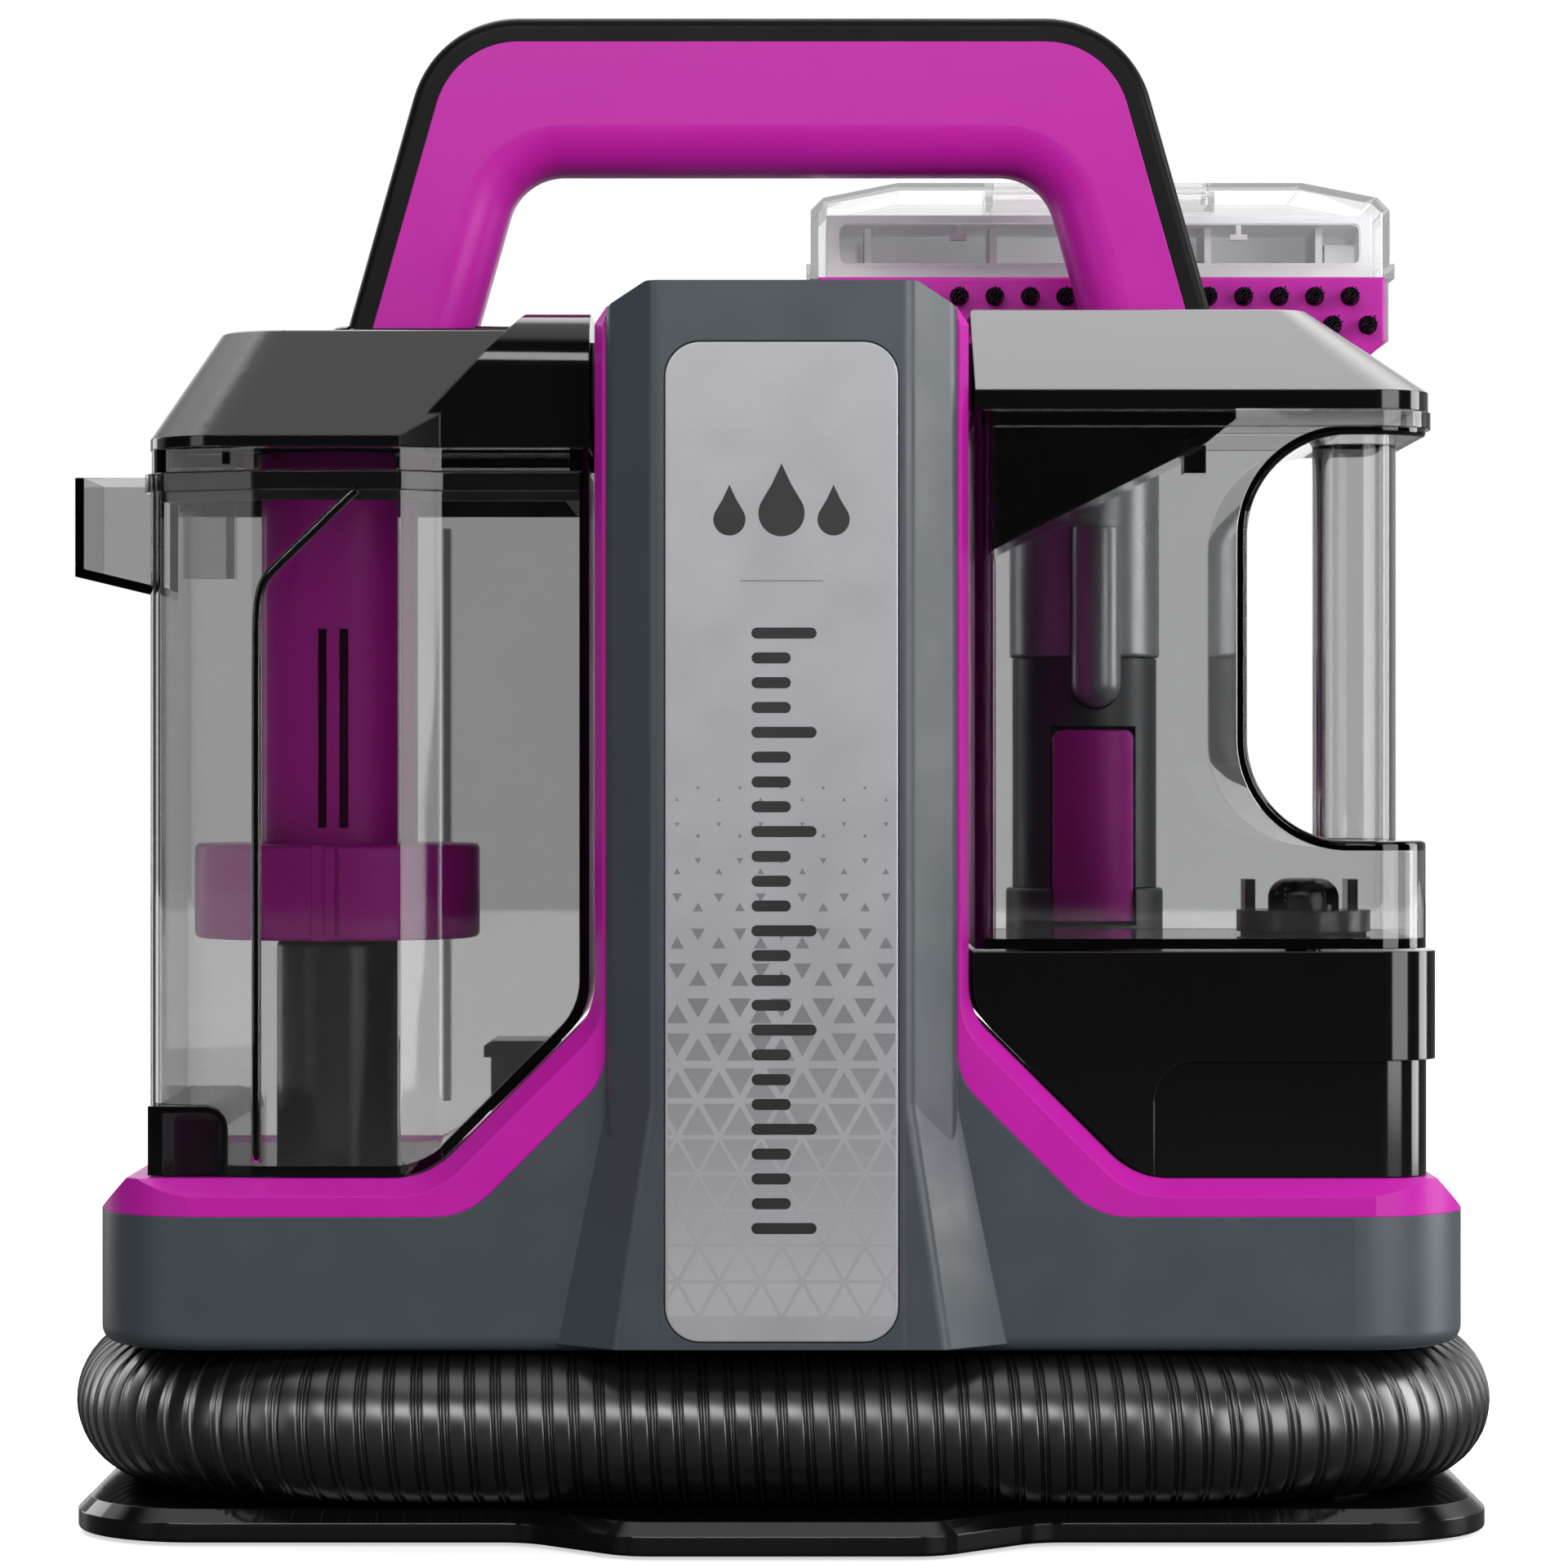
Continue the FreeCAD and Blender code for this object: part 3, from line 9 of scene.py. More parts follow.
import bmesh
import bpy
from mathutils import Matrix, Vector

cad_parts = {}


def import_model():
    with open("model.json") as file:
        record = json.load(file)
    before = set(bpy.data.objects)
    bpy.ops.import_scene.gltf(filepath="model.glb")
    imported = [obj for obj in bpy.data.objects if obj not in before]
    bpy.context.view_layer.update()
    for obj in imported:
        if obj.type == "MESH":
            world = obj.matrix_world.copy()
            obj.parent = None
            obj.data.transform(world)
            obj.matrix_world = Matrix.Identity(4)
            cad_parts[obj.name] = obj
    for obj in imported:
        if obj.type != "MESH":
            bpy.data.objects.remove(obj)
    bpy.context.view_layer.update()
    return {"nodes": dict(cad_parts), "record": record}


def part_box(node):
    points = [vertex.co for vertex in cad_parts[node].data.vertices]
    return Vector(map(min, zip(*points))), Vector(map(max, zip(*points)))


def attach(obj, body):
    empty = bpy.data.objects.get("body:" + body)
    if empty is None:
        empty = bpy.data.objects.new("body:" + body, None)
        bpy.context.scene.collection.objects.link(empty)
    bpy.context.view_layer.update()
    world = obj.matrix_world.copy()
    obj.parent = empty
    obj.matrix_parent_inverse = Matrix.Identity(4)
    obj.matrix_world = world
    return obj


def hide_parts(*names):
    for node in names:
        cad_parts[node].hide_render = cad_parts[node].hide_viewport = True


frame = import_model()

NODES = frame["nodes"]
MM = 0.001


# ---------------------------------------------------------------- camera
CAMERA_PLACE = (0.0006, -1.3, 0.187)
CAMERA_LENS = 113.4  # focal length in millimetres, on a sensor SENSOR_WIDTH millimetres wide
SENSOR_WIDTH = 36
CAMERA_SEES_TO = 50


def camera():
    data = bpy.data.cameras.new("camera")
    data.lens = CAMERA_LENS
    data.sensor_width = SENSOR_WIDTH
    data.clip_end = CAMERA_SEES_TO
    eye = bpy.data.objects.new("camera", data)
    eye.location = CAMERA_PLACE
    eye.rotation_euler = (math.pi / 2, 0, 0)
    bpy.context.scene.collection.objects.link(eye)
    bpy.context.scene.camera = eye


# ---------------------------------------------------------------- mesh helpers
def mesh_piece(name, points, faces, material, body, smooth=False):
    mesh = bpy.data.meshes.new(name)
    mesh.from_pydata([tuple(p) for p in points], [], faces)
    mesh.validate()
    piece = bpy.data.objects.new(name, mesh)
    bpy.context.scene.collection.objects.link(piece)
    mesh.materials.append(material)
    mesh.polygons.foreach_set("use_smooth", [smooth] * len(mesh.polygons))
    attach(piece, body)
    return piece


class Shapes:
    """Gathers many small solids into one mesh."""

    def __init__(self):
        self.points, self.faces = [], []

    def add(self, points, faces):
        first = len(self.points)
        self.points += points
        self.faces += [[first + i for i in face] for face in faces]

    def prism(self, outline, place, depth):
        """A flat outline of (u, v) points made solid: place(u, v, d) gives the point at depth d."""
        count = len(outline)
        low = [place(u, v, 0) for u, v in outline]
        high = [place(u, v, depth) for u, v in outline]
        sides = [[i, (i + 1) % count, count + (i + 1) % count, count + i] for i in range(count)]
        self.add(low + high, [list(range(count))[::-1], list(range(count, 2 * count)), *sides])

    def tube(self, line, radii, sides, flat=1.0):
        """A closed tube along a line of points, with a radius at each; flat squeezes it across."""
        first, rings = len(self.points), []
        for i, point in enumerate(line):
            ahead = (line[min(i + 1, len(line) - 1)] - line[max(i - 1, 0)]).normalized()
            across = Vector((0, 1, 0)) if abs(ahead.y) < 0.9 else Vector((1, 0, 0))
            side = ahead.cross(across).normalized()
            up = side.cross(ahead) * flat
            rings.append([point + (side * math.cos(a) + up * math.sin(a)) * radii[i]
                          for a in (2 * math.pi * k / sides for k in range(sides))])
        self.points += [p for ring in rings for p in ring]
        for i in range(len(line) - 1):
            a, b = first + i * sides, first + (i + 1) * sides
            self.faces += [[a + k, a + (k + 1) % sides, b + (k + 1) % sides, b + k] for k in range(sides)]
        last = first + (len(line) - 1) * sides
        self.faces += [list(range(first, first + sides))[::-1], list(range(last, last + sides))]

    def piece(self, name, material, body, smooth=False):
        return mesh_piece(name, self.points, self.faces, material, body, smooth)


# ---------------------------------------------------------------- materials
# Cosines of the lean of a rounded normal where an edge's polish begins and where it is full.
EDGE_FROM, EDGE_FULL = 0.995, 0.85
# Noise scales, in waves per metre: fine moulded grain, film sparkle and printed specks.
GRAIN, SPARKLE, SPECK = 1900, 2600, 3000
EDGE_LIGHTENS = 1.7  # how much paler a worn edge is


class Graph:
    """One material's nodes, ending in its Principled shader."""

    def __init__(self, name, **constants):
        self.material = bpy.data.materials.new(name)
        self.material.use_nodes = True
        self.tree = self.material.node_tree
        self.shader = self.tree.nodes["Principled BSDF"]
        for socket, value in constants.items():
            self.shader.inputs[socket.replace("_", " ")].default_value = value
        self.place = self.add("TexCoord").outputs["Object"]

    def add(self, kind, sockets=(), **settings):
        node = self.tree.nodes.new("ShaderNode" + kind)
        for key, value in settings.items():
            setattr(node, key, value)
        for socket, value in dict(sockets).items():
            if isinstance(value, bpy.types.NodeSocket):
                self.tree.links.new(value, node.inputs[socket])
            else:
                node.inputs[socket].default_value = value
        return node

    def noise(self, scale, detail=2.0, roughness=0.5):
        sockets = {"Vector": self.place, "Scale": scale, "Detail": detail, "Roughness": roughness}
        return self.add("TexNoise", sockets).outputs["Fac"]

    def between(self, value, low, high, out_low, out_high):
        sockets = {"Value": value, "From Min": low, "From Max": high, "To Min": out_low, "To Max": out_high}
        return self.add("MapRange", sockets).outputs["Result"]

    def mix(self, factor, a, b):
        node = self.add("Mix", {0: factor}, data_type="RGBA")
        for socket, value in ((6, a), (7, b)):
            if isinstance(value, bpy.types.NodeSocket):
                self.tree.links.new(value, node.inputs[socket])
            else:
                node.inputs[socket].default_value = (*value, 1)
        return node.outputs[2]

    def bump(self, height, strength, distance, normal=None):
        sockets = {"Height": height, "Strength": strength, "Distance": distance}
        if normal is not None:
            sockets["Normal"] = normal
        return self.add("Bump", sockets).outputs["Normal"]

    def rounded(self, radius):
        """The surface's normal with its edges rounded."""
        return self.add("Bevel", {"Radius": radius}, samples=4).outputs["Normal"]

    def near_edge(self, rounded):
        """How near an edge is, from 0 to 1, by how far the rounded normal leans from the true one."""
        true = self.add("NewGeometry").outputs["Normal"]
        dot = self.add("VectorMath", {0: rounded, 1: true}, operation="DOT_PRODUCT").outputs["Value"]
        return self.between(dot, EDGE_FROM, EDGE_FULL, 0.0, 1.0)

    def link(self, socket, value):
        self.tree.links.new(value, self.shader.inputs[socket])


def shade(colour, factor):
    return tuple(min(1.0, c * factor) for c in colour)


def moulded(name, colour, roughness, grain=0.25, mottle=0.05, edge=0.45 * MM, wear=0.25, **constants):
    """Moulded plastic: a fine eroded grain, slow changes of tone and gloss, and rounded, polished edges."""
    graph = Graph(name, **constants)
    normal = graph.rounded(edge)
    cloud = graph.noise(28, 4)
    tone = graph.mix(cloud, shade(colour, 1 - mottle), shade(colour, 1 + mottle))
    polish = graph.add("Math", {0: graph.near_edge(normal), 1: wear}, operation="MULTIPLY").outputs[0]
    graph.link("Base Color", graph.mix(polish, tone, shade(colour, EDGE_LIGHTENS)))
    gloss = graph.between(graph.noise(55, 5, 0.6), 0.3, 0.7, roughness * 0.85, roughness * 1.2)
    graph.link("Roughness", gloss)
    if grain:
        normal = graph.bump(graph.noise(GRAIN, 2), grain, 0.03 * MM, normal)
    graph.link("Normal", normal)
    return graph.material


CLEAR_IOR = 1.46
CLEAR_ROUGHNESS = 0.015
CLEAR_MOTTLE = 0.02
HAZE_ADDS = 0.03  # to the roughness, where the surface has been handled
MOULD_WAVE = 0.12  # strength of the slow waves of a moulded face
SHADOW_TINT = (0.9, 0.9, 0.9, 1)


def clear(name, tint, absorbed, lets_light_in=False):
    """Clear plastic with slow mould waves, faint handling haze and rounded edges, darker the longer the way
    through it: absorbed is the share of light lost per millimetre. lets_light_in keeps it from shading
    what is inside it."""
    graph = Graph(name, Transmission_Weight=1.0, IOR=CLEAR_IOR)
    density = -math.log(1 - absorbed) / MM
    inside = graph.add("VolumeAbsorption", {"Color": (0, 0, 0, 1), "Density": density})
    output = graph.tree.nodes["Material Output"]
    graph.tree.links.new(inside.outputs["Volume"], output.inputs["Volume"])
    if lets_light_in:
        shadow = graph.add("LightPath").outputs["Is Shadow Ray"]
        through = graph.add("BsdfTransparent", {"Color": SHADOW_TINT}).outputs[0]
        mixed = graph.add("MixShader", {0: shadow, 1: graph.shader.outputs[0], 2: through}).outputs[0]
        graph.tree.links.new(mixed, output.inputs["Surface"])
    normal = graph.rounded(0.35 * MM)
    tone = graph.mix(graph.noise(18, 3), shade(tint, 1 - CLEAR_MOTTLE), shade(tint, 1 + CLEAR_MOTTLE))
    graph.link("Base Color", tone)
    handled = graph.noise(40, 6, 0.65)
    haze = graph.between(handled, 0.45, 0.75, CLEAR_ROUGHNESS, CLEAR_ROUGHNESS + HAZE_ADDS)
    graph.link("Roughness", haze)
    graph.link("Normal", graph.bump(graph.noise(24, 1), MOULD_WAVE, 0.4 * MM, normal))
    return graph.material


def metal(name, colour, roughness, streak=(1, 1, 60)):
    """Drawn or turned metal: fine streaks along one direction."""
    graph = Graph(name, Metallic=1.0)
    normal = graph.rounded(0.3 * MM)
    graph.place = graph.add("Mapping", {"Vector": graph.place, "Scale": streak}).outputs["Vector"]
    streaks = graph.noise(60, 4, 0.7)
    graph.link("Base Color", graph.mix(streaks, shade(colour, 0.85), shade(colour, 1.1)))
    graph.link("Roughness", graph.between(streaks, 0.3, 0.7, roughness * 0.8, roughness * 1.3))
    graph.link("Normal", graph.bump(streaks, 0.15, 0.02 * MM, normal))
    return graph.material


def painted_label():
    """Satin silver film on the label panel, with a fine brushed sparkle."""
    graph = Graph("silver_label", Metallic=0.35)
    normal = graph.rounded(0.3 * MM)
    sparkle = graph.noise(SPARKLE, 2)
    graph.link("Base Color", graph.mix(sparkle, (0.42, 0.42, 0.44), (0.5, 0.5, 0.53)))
    graph.link("Roughness", graph.between(graph.noise(60, 4), 0.3, 0.7, 0.36, 0.46))
    graph.link("Normal", graph.bump(sparkle, 0.1, 0.01 * MM, normal))
    return graph.material


def fading_print(name, dark, light, z_dark, z_light):
    """Printed ink that pales from the height z_dark to z_light."""
    graph = Graph(name)
    height = graph.add("SeparateXYZ", {0: graph.place}).outputs["Z"]
    fade = graph.between(height, z_dark, z_light, 0.0, 1.0)
    speck = graph.noise(SPECK, 2)
    tone = graph.mix(fade, dark, light)
    graph.link("Base Color", graph.mix(graph.between(speck, 0.3, 0.7, 0.0, 0.12), tone, light))
    graph.link("Roughness", graph.between(speck, 0.3, 0.7, 0.4, 0.5))
    return graph.material


def circuit_board():
    """Green solder mask with paler tracks."""
    graph = Graph("board_green")
    bricks = {"Vector": graph.place, "Scale": 160.0, "Mortar Size": 0.03}
    tracks = graph.add("TexBrick", bricks).outputs["Fac"]
    graph.link("Base Color", graph.mix(tracks, (0.01, 0.07, 0.03), (0.05, 0.2, 0.08)))
    graph.link("Roughness", graph.between(graph.noise(300, 3), 0.3, 0.7, 0.25, 0.4))
    graph.link("Normal", graph.bump(tracks, 0.4, 0.05 * MM))
    return graph.material


SLATE = (0.058, 0.072, 0.084)
MAGENTA = (0.57, 0.014, 0.405)
BLACK = (0.003, 0.003, 0.0033)
SOFT_BLACK = (0.004, 0.004, 0.0044)
PALE_GREY = (0.85, 0.85, 0.87)

FINISHES = {
    "slate_shell": moulded("slate_shell", SLATE, 0.36, grain=0.35),
    "magenta_plastic": moulded("magenta_plastic", MAGENTA, 0.33, grain=0.2, mottle=0.03,
                               Specular_IOR_Level=0.25),
    "black_gloss": moulded("black_gloss", BLACK, 0.09, grain=0.03, mottle=0.1, wear=0.1),
    "black_matte": moulded("black_matte", SOFT_BLACK, 0.22, grain=0.3),
    "smoke_clear": clear("smoke_clear", (0.93, 0.93, 0.93), absorbed=0.22),
    "clear_plastic": clear("clear_plastic", (0.97, 0.975, 0.975), absorbed=0.17),
    "silver_label": painted_label(),
    "silver_plastic": moulded("silver_plastic", (0.36, 0.37, 0.39), 0.3, grain=0.15, Metallic=0.4),
    "dark_grey_plastic": moulded("dark_grey_plastic", (0.05, 0.053, 0.058), 0.38, grain=0.4),
    "black_rubber": moulded("black_rubber", (0.014, 0.014, 0.014), 0.62, grain=0.8, wear=0.5),
    "hose_black": moulded("hose_black", SOFT_BLACK, 0.3, grain=0.1, edge=0.2 * MM, wear=0.05, IOR=1.9),
    "bristle_black": moulded("bristle_black", (0.01, 0.01, 0.011), 0.4, grain=0.0, edge=0.05 * MM),
    "grey_inner": moulded("grey_inner", PALE_GREY, 0.42, grain=0.3),
    "steel": metal("steel", (0.62, 0.62, 0.63), 0.28),
    "motor_metal": metal("motor_metal", (0.5, 0.5, 0.52), 0.35, streak=(1, 1, 30)),
    "board_green": circuit_board(),
    "silicone": moulded("silicone", (0.55, 0.55, 0.53), 0.5, grain=0.2, Subsurface_Weight=0.2),
}

# Nodes that look different from the rest of their slot.
OWN_FINISHES = {
    "nozzle_hood": clear("hood_clear", (0.99, 0.99, 0.99), absorbed=0.02, lets_light_in=True),
    "nozzle_inner": moulded("frosted_inner", PALE_GREY, 0.5, grain=0.3, Transmission_Weight=0.42),
    "handle_spine": moulded("spine_black", SOFT_BLACK, 0.4, grain=0.3, Specular_IOR_Level=0.12),
}


def finish_cad_nodes():
    """Every CAD node takes its own finish, or that of its slot in the record."""
    for subpart in frame["record"]["subparts"]:
        node = NODES[subpart["node"]]
        node.data.materials.clear()
        node.data.materials.append(OWN_FINISHES.get(node.name, FINISHES[subpart["material_slot"]]))


# ---------------------------------------------------------------- the hose
# The hose's route from the port, down the back, once round the channel and up to the tool.
HOSE_Z = 0.0285
HOSE_ROUTE = [
    (0, 0.090, 0.212),
    (0, 0.090, 0.153),
    (-0.002, 0.090, 0.092),
    (-0.018, 0.0895, 0.051),
    (-0.056, 0.0885, 0.0295),
    (-0.124, 0.087, HOSE_Z),
    (-0.165, 0.048, HOSE_Z),
    (-0.165, -0.044, HOSE_Z),
    (-0.126, -0.083, HOSE_Z),
    (-0.042, -0.0844, HOSE_Z),
    (0.042, -0.0844, HOSE_Z),
    (0.126, -0.083, HOSE_Z),
    (0.165, -0.044, HOSE_Z),
    (0.165, 0.026, HOSE_Z),
    (0.156, 0.079, 0.0295),
    (0.124, 0.105, 0.043),
    (0.098, 0.101, 0.076),
    (0.085, 0.090, 0.106),
    (0.085, 0.090, 0.138),
]
HOSE_PITCH = 6.3 * MM
# One pitch of the hose's wall as (share of the pitch, radius in millimetres).
HOSE_WALL = [
    *[(0.0, 18.22), (0.03, 18.38), (0.08, 18.42), (0.32, 18.44)],  # a flat band
    *[(0.56, 18.42), (0.61, 18.38), (0.64, 18.22)],
    *[(0.67, 17.72), (0.73, 17.68)],  # a groove
    *[(0.765, 18.35), (0.79, 18.68), (0.82, 18.75), (0.85, 18.68), (0.875, 18.35)],  # a thin rib
    *[(0.91, 17.68), (0.97, 17.72)],  # a groove
]
HOSE_SIDES = 48
SAME_LENGTH = 1e-9


def spline_points(route, name):
    """Points along the smooth curve that the route's points control."""
    data = bpy.data.curves.new(name, "CURVE")
    data.dimensions = "3D"
    data.resolution_u = 32
    spline = data.splines.new("NURBS")
    spline.points.add(len(route) - 1)
    for point, place in zip(spline.points, route):
        point.co = (*place, 1)
    spline.order_u = 3
    spline.use_endpoint_u = True
    curve = bpy.data.objects.new(name, data)
    bpy.context.scene.collection.objects.link(curve)
    mesh = bpy.data.meshes.new_from_object(curve)
    points = [v.co.copy() for v in mesh.vertices]
    bpy.data.objects.remove(curve)
    bpy.data.meshes.remove(mesh)
    return points


class Line:
    """A smooth line that can be asked for its place and its frame at any length along it."""

    def __init__(self, points):
        self.points = points
        self.lengths = [0.0]
        for a, b in zip(points, points[1:]):
            self.lengths.append(self.lengths[-1] + (b - a).length)
        self.total = self.lengths[-1]
        self.sides = [Vector((1, 0, 0))]
        for i in range(1, len(points)):
            ahead = self.direction(i)
            side = self.sides[-1] - ahead * self.sides[-1].dot(ahead)
            self.sides.append(side.normalized())

    def direction(self, i):
        return (self.points[min(i + 1, len(self.points) - 1)] - self.points[max(i - 1, 0)]).normalized()

    def at(self, length):
        length = min(max(length, 0.0), self.total)
        i = next(k for k in range(1, len(self.lengths)) if self.lengths[k] >= length - SAME_LENGTH)
        span = max(self.lengths[i] - self.lengths[i - 1], SAME_LENGTH)
        share = (length - self.lengths[i - 1]) / span
        place = self.points[i - 1].lerp(self.points[i], share)
        ahead = self.direction(i - 1).lerp(self.direction(i), share).normalized()
        side = self.sides[i - 1].lerp(self.sides[i], share)
        side = (side - ahead * side.dot(ahead)).normalized()
        return place, side, ahead.cross(side)


def hose():
    """A tube whose wall is one long helix of bands and ribs."""
    line = Line(spline_points(HOSE_ROUTE, "hose_route"))
    turns = math.ceil(line.total / HOSE_PITCH)
    pitch = line.total / turns
    profile = len(HOSE_WALL)
    # Rows run one pitch beyond both ends, so that the sheared rings cover the ends; line.at clamps them.
    rows = [(turn * pitch + share * pitch, radius * MM) for turn in range(-1, turns + 1)
            for share, radius in HOSE_WALL]
    points = []
    for length, radius in rows:
        for k in range(HOSE_SIDES):
            place, side, up = line.at(length + pitch * k / HOSE_SIDES)
            angle = 2 * math.pi * k / HOSE_SIDES
            points.append(place + (side * math.cos(angle) + up * math.sin(angle)) * radius)
    faces = []
    # The last face of each row joins the row one pitch further on, since the wall is a helix.
    for i in range(len(rows) - 1):
        for k in range(HOSE_SIDES):
            ahead = i * HOSE_SIDES + k + 1
            behind = i * HOSE_SIDES + k
            if k + 1 < HOSE_SIDES:
                faces.append((behind, ahead, ahead + HOSE_SIDES, behind + HOSE_SIDES))
            elif i + profile + 1 < len(rows):
                start = (i + profile) * HOSE_SIDES
                faces.append((behind, start, start + HOSE_SIDES, behind + HOSE_SIDES))
    piece = mesh_piece("hose_tube", points, faces, FINISHES["hose_black"], "machine")
    close_ends(piece)
    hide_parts("hose")
    print(f"hose line {line.total:.4f} m")


MERGE_WITHIN = 0.02 * MM


def close_ends(piece):
    """Merges the rings that were clamped to the ends, closes the ends and smooths the whole."""
    work = bmesh.new()
    work.from_mesh(piece.data)
    bmesh.ops.remove_doubles(work, verts=work.verts, dist=MERGE_WITHIN)
    loose = [v for v in work.verts if not v.link_faces]
    bmesh.ops.delete(work, geom=loose, context="VERTS")
    bmesh.ops.holes_fill(work, edges=[e for e in work.edges if e.is_boundary], sides=0)
    bmesh.ops.recalc_face_normals(work, faces=work.faces)
    work.to_mesh(piece.data)
    work.free()
    piece.data.polygons.foreach_set("use_smooth", [True] * len(piece.data.polygons))


# ---------------------------------------------------------------- the label
LABEL_SKIN = 0.05 * MM  # thickness of what is printed on the panel
PRINT_EDGE = 0.05 * MM
DROPS = [(0, 252.5, 5.6), (-12.6, 251, 3.9), (12.6, 251, 3.9)]  # centre across, centre up, radius
DROP_TIP, DROP_SHOULDER_OUT, DROP_SHOULDER_UP = 2.15, 0.42, 1.25  # in radii
BARS, BAR_TOP, BAR_STEP, BAR_HEIGHT = 25, 223.5, 6, 2.7
LONG_BAR_EVERY = 4
LONG_BAR, SHORT_BAR = (0.6, 15.8), (-2.5, 9.5)  # centre across, width
RULE = [(-10, 236), (10, 236), (10, 236.3), (-10, 236.3)]


def on_label(u, v, depth):
    """The point u millimetres across and v up on the label panel's front, or depth in front of it."""
    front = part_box("label_panel")[0].y
    return Vector((u * MM, front - depth, v * MM))


def arc(cu, cv, radius, start, end, steps=10):
    """Points round part of a circle, between two angles in degrees."""
    angles = [math.radians(start + (end - start) * i / steps) for i in range(steps + 1)]
    return [(cu + radius * math.cos(a), cv + radius * math.sin(a)) for a in angles]


def drop(cu, cv, radius):
    """A water drop: a round foot drawn up to a point."""
    out, up = radius * DROP_SHOULDER_OUT, radius * DROP_SHOULDER_UP
    point = [(cu + out, cv + up), (cu, cv + DROP_TIP * radius), (cu - out, cv + up)]
    return arc(cu, cv, radius, 150, 390, 26) + point


def bar(cu, cv, width, height):
    """A rounded bar lying across the panel."""
    reach, radius = width / 2 - height / 2, height / 2
    return arc(cu + reach, cv, radius, -90, 90) + arc(cu - reach, cv, radius, 90, 270)


def clipped(outline, limit):
    """The part of an outline between u = -limit and u = limit."""
    for sign in (1, -1):
        kept = []
        for (u0, v0), (u1, v1) in zip(outline, outline[1:] + outline[:1]):
            if sign * u0 <= limit:
                kept.append((u0, v0))
            if (sign * u0 - limit) * (sign * u1 - limit) < 0:
                share = (sign * limit - u0) / (u1 - u0)
                kept.append((sign * limit, v0 + share * (v1 - v0)))
        outline = kept
        if not outline:
            break
    return outline


TRIANGLE_PITCH = 10.1
TRIANGLE_TOP, TRIANGLE_BOTTOM = 189.0, 62.0
TRIANGLE_SMALLEST, TRIANGLE_GROWS = 0.1, 0.76  # shares of the pitch
ROWS_FULL_GROWN = 4
HALF_COLUMNS = 7
PANEL_MARGIN = 0.7
INK_PALES = (0.135, 0.066)  # heights where the triangles' ink begins to pale and where it is palest


def label_print():
    """Generic decoration: three drops, a rule, a column of bars and a field of growing triangles."""
    dark = Shapes()
    for cu, cv, radius in DROPS:
        dark.prism(drop(cu, cv, radius), on_label, LABEL_SKIN)
    for i in range(BARS):
        shift, width = SHORT_BAR if i % LONG_BAR_EVERY else LONG_BAR
        dark.prism(bar(shift, BAR_TOP - BAR_STEP * i, width, BAR_HEIGHT), on_label, LABEL_SKIN)
    ink = moulded("label_ink", (0.018, 0.018, 0.019), 0.42, grain=0.15, edge=PRINT_EDGE)
    dark.piece("label_marks", ink, "machine")

    rule = Shapes()
    rule.prism(RULE, on_label, LABEL_SKIN)
    grey = moulded("label_rule_ink", (0.22, 0.22, 0.23), 0.42, grain=0.15, edge=PRINT_EDGE)
    rule.piece("label_rule", grey, "machine")

    paling = fading_print("label_triangles_ink", (0.19, 0.19, 0.20), (0.43, 0.43, 0.45), *INK_PALES)
    field = triangle_field()
    field.piece("label_triangles", paling, "machine")


def triangle_field():
    """Rows of triangles that grow down the panel, cut off at the panel's sides."""
    field = Shapes()
    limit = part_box("label_panel")[1].x / MM - PANEL_MARGIN
    height = TRIANGLE_PITCH * math.sqrt(3) / 2
    rows = round((TRIANGLE_TOP - TRIANGLE_BOTTOM) / height)
    for row in range(rows):
        grown = min(1.0, row / (rows - ROWS_FULL_GROWN))
        size = TRIANGLE_PITCH * (TRIANGLE_SMALLEST + TRIANGLE_GROWS * grown * grown * (3 - 2 * grown))
        top = TRIANGLE_TOP - row * height
        for k in range(-HALF_COLUMNS, HALF_COLUMNS + 1):
            points_up = (k + row) % 2
            cu = k * TRIANGLE_PITCH / 2
            cv = top - height * (2 / 3 if points_up else 1 / 3)
            turns = [math.radians((90 if points_up else 270) + a) for a in (0, 120, 240)]
            reach = size / math.sqrt(3)
            outline = [(cu + reach * math.cos(turn), cv + reach * math.sin(turn)) for turn in turns]
            outline = clipped(outline, limit)
            if len(outline) > 2:
                field.prism(outline, on_label, LABEL_SKIN * 0.6)
    return field


# ---------------------------------------------------------------- controls
MARK_OUTSIDE, MARK_INSIDE = 4.6, 3.7
MARK_FROM, MARK_TO = 125, 415  # degrees, round the ring from one side of its gap to the other
MARK_BAR = [(-0.45, 1.2), (0.45, 1.2), (0.45, 5.4), (-0.45, 5.4)]


def power_mark():
    """A ring with a gap and a bar, printed on the button."""
    low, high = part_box("power_button")
    centre, top = (low + high) / 2, high.z

    def on_button(u, v, depth):
        return Vector((centre.x + u * MM, centre.y + v * MM, top + depth))

    mark = Shapes()
    outside = arc(0, 0, MARK_OUTSIDE, MARK_FROM, MARK_TO, 40)
    inside = arc(0, 0, MARK_INSIDE, MARK_TO, MARK_FROM, 40)
    mark.prism(outside + inside, on_button, LABEL_SKIN)
    mark.prism(MARK_BAR, on_button, LABEL_SKIN)
    ink = moulded("button_ink", (0.6, 0.6, 0.62), 0.4, grain=0.1, edge=PRINT_EDGE)
    mark.piece("power_mark", ink, "power_button")


